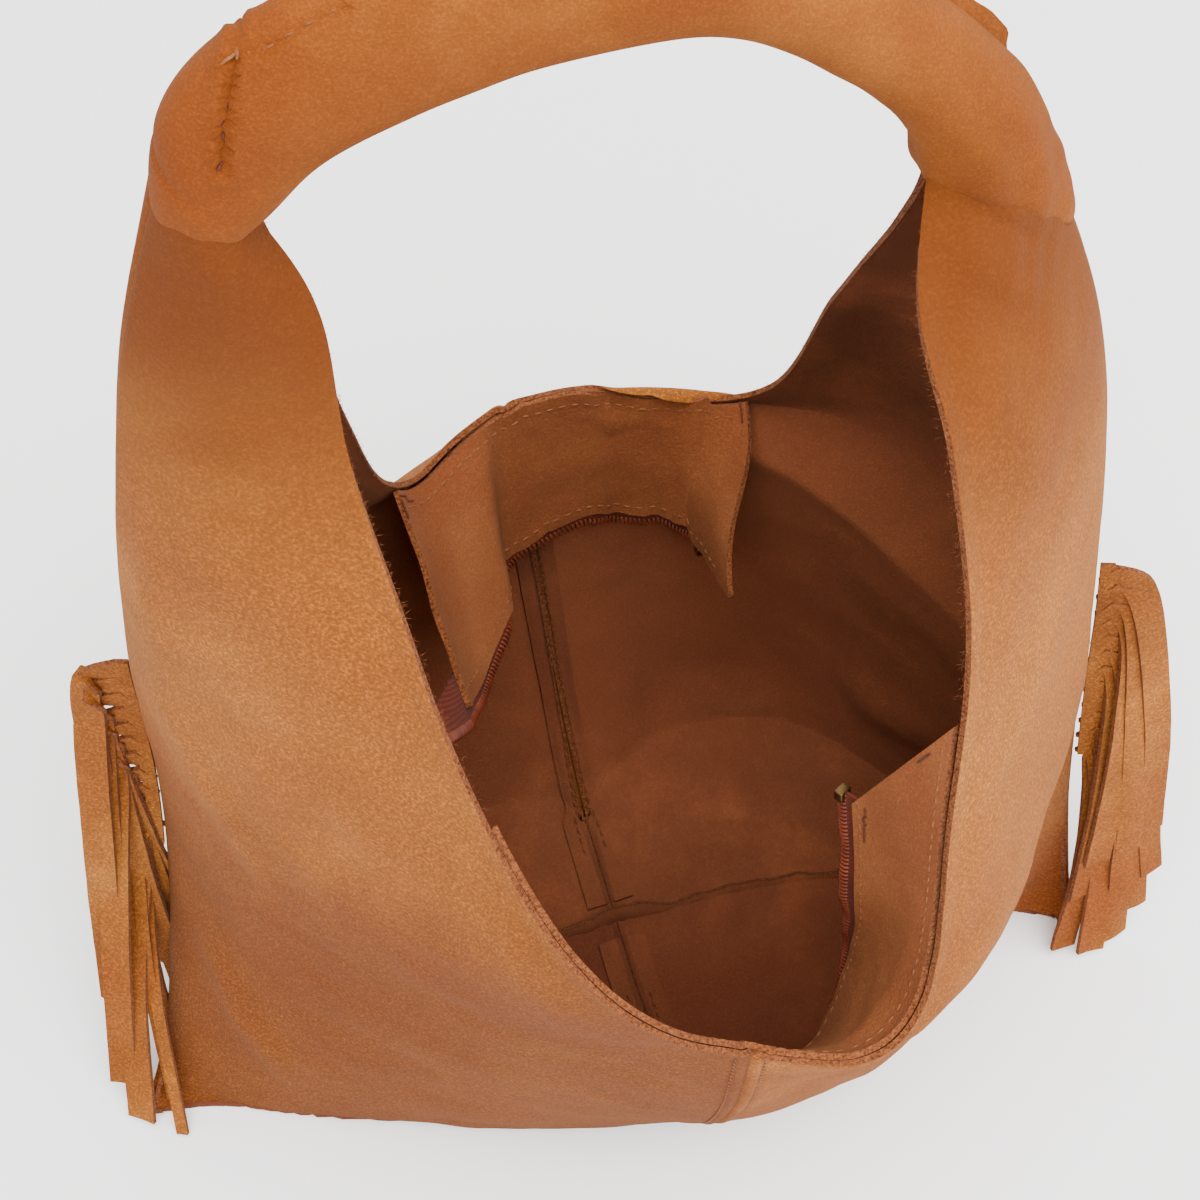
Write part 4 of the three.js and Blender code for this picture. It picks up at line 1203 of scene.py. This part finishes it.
# Rows of stitches on the facings: under the rim and above the zip
FACING_MIDDLE = 150.0
facing_rows = {"under_rim": [], "above_zip": []}
facing_inward = {}
for face in ("front", "back"):
    points, normals = facing_grids[face]
    outward_share = np.mean(np.sum(normals * (points - FACING_MIDDLE * UP), axis=-1))
    inward = facing_inward[face] = normals if outward_share < 0 else -normals
    for place, depth in (("under_rim", 4.2), ("above_zip", FACING_DEPTH - 4.0)):
        k = depth / FACING_DEPTH * FACING_STEPS
        lower = int(k)
        row = points[lower] + (k - lower) * (points[lower + 1] - points[lower])
        off = inward[lower]
        facing_rows[place].append((row[2:-2] + (SUEDE / 2 + 0.05) * off[2:-2], off[2:-2]))
stitches("facing_rim_thread", facing_rows["under_rim"], PALE_THREAD, 2.2, 3.8, 0.26)
stitches("facing_zip_thread", facing_rows["above_zip"], PALE_THREAD, 2.2, 3.8, 0.26)

# Bar tacks at the facings' ends
BAR_TACKS = {
    "back": [((396, 496), (412, 503)), ((398, 503), (404, 516)), ((744, 404), (742, 420))],
    "front": [((868, 806), (866, 838)), ((930, 752), (922, 760))],
}
for face, marks in BAR_TACKS.items():
    points, inward = facing_grids[face][0], facing_inward[face]
    runs = []
    for mark in marks:
        places = [nearest_on(points, inward, pixel) for pixel in path_between(mark)]
        rows, columns = np.array(places).astype(int).T
        where, off = points[rows, columns], inward[rows, columns]
        fresh = np.concatenate(([True], np.linalg.norm(np.diff(where, axis=0), axis=1) > 0.3))
        runs.append(((where + (SUEDE / 2 + 0.1) * off)[fresh], off[fresh]))
    runs = [run for run in runs if len(run[0]) > 1]
    stitches(f"{face}_facing_tack", runs, DARK_THREAD, 1.7, 0.8, 0.36)

# The bottom seam's allowances stand up inside as one rough ridge, bunched at the crossing
left_line = bottom_seam("left").at(np.linspace(0.42, 1, 110))
right_line = bottom_seam("right").at(np.linspace(1, 0.36, 110))
line = np.vstack((left_line, right_line[1:]))
rise = 3.0 + 1.1 * ripple(line, 9, 61) + 2.4 * hump(line[:, 0], 12)
lean = 0.55 + 0.5 * ripple(line, 24, 62)
levels = np.linspace(0.2, 1, 7)
reach = rise[:, None] * levels[None, :]
ridge = line[:, None] + reach[..., None] * UP
ridge[..., 1] += reach * levels[None, :] * lean[:, None]
ridge[..., 1] += 0.5 * ripple(ridge, 5, 63)
bottom_ridge = sheet_piece("bottom_seam_allowance", ridge, 1.5 * SUEDE, (INNER, INNER, EDGE))

# Loose fibres along the raw rims
FIBRES_PER_MM = 2.6
FIBRE_ROOT = 0.085
FIBRE_TIP = 0.02
fibre_rng = np.random.default_rng(7)
shape = bmesh.new()
for name in PANELS:
    points, normals, s, t = shapes[name]
    column = int(np.argmax(s[0]))
    inside = column + (4 if column == 0 else -4)
    high = t[:, 0] * ROWS >= RIM_ROW
    rim, off = points[high, column], normals[high, column]
    beyond = unit(rim - points[high, inside])
    run = run_along(rim, 0)
    for place in np.sort(fibre_rng.uniform(0, run[-1], int(run[-1] * FIBRES_PER_MM))):
        root, out, aside = (between(place, run, values) for values in (rim, beyond, off))
        root = root + fibre_rng.uniform(-2.4, 0.7) * aside - 0.2 * out
        way = unit(out + fibre_rng.normal(0, 0.75, 3))
        tall = fibre_rng.uniform(0.6, 1.5)
        turn = Vector(way).to_track_quat("Z", "Y").to_matrix().to_4x4()
        matrix = Matrix.Translation(to_frame(root + way * tall / 2)) @ turn
        bmesh.ops.create_cone(
            shape, segments=3, radius1=FIBRE_ROOT * MM, radius2=FIBRE_TIP * MM, depth=tall * MM, matrix=matrix,
        )
object_of(shape, "rim_fibres", (EDGE,))

# Zip metal keeps its shape from the part
for name in ("zip_bottom_stop", "zip_slider", "zip_pull"):
    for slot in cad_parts[name].material_slots:
        slot.material = BRASS

# Floor
floor_finish = Finish("pale_floor")
floor_finish.set(Roughness=0.7, Specular_IOR_Level=0.2)
FLOOR_TONES = ((0.3, tint(250, 250, 252)), (0.7, tint(252, 252, 254)))
floor_finish.colour(floor_finish.ramp(floor_finish.noise(1.4, 2), FLOOR_TONES))
shape = bmesh.new()
bmesh.ops.create_grid(shape, x_segments=8, y_segments=8, size=3)
in_scene("floor", mesh_of(shape, "floor", (floor_finish.material,)))


# Light
def area_light(name, place, aim, size, power, colour):
    data = bpy.data.lights.new(name, "AREA")
    data.shape = "DISK"
    data.size = size
    data.energy = power
    data.color = colour
    light = in_scene(name, data)
    light.location = place
    light.rotation_euler = (Vector(aim) - Vector(place)).to_track_quat("-Z", "Y").to_euler()


area_light("overhead", (0.1, -0.55, 2.45), (0.0, 0.0, 0.15), 2.4, 150, (1.0, 0.98, 0.95))
area_light("window", (1.4, -0.6, 1.3), (0.0, 0.0, 0.15), 1.2, 14, (1.0, 0.99, 0.97))
world = bpy.data.worlds.new("studio")
world.use_nodes = True
sky = world.node_tree.nodes["Background"]
sky.inputs["Color"].default_value = (1.0, 0.985, 0.96, 1.0)
sky.inputs["Strength"].default_value = 1.5
bpy.context.scene.world = world

# Camera
SENSOR = 36.0
lens = bpy.data.cameras.new("camera")
lens.sensor_width = SENSOR
lens.lens = SENSOR * FOCUS_PIXELS / IMAGE_SIDE
lens.clip_start = 0.01
camera = in_scene("camera", lens)
turn = Matrix((VIEW_RIGHT, VIEW_UP, VIEW_BACK)).transposed().to_4x4()
camera.matrix_world = Matrix.Translation(to_frame(VIEW_PLACE)) @ turn
bpy.context.scene.camera = camera
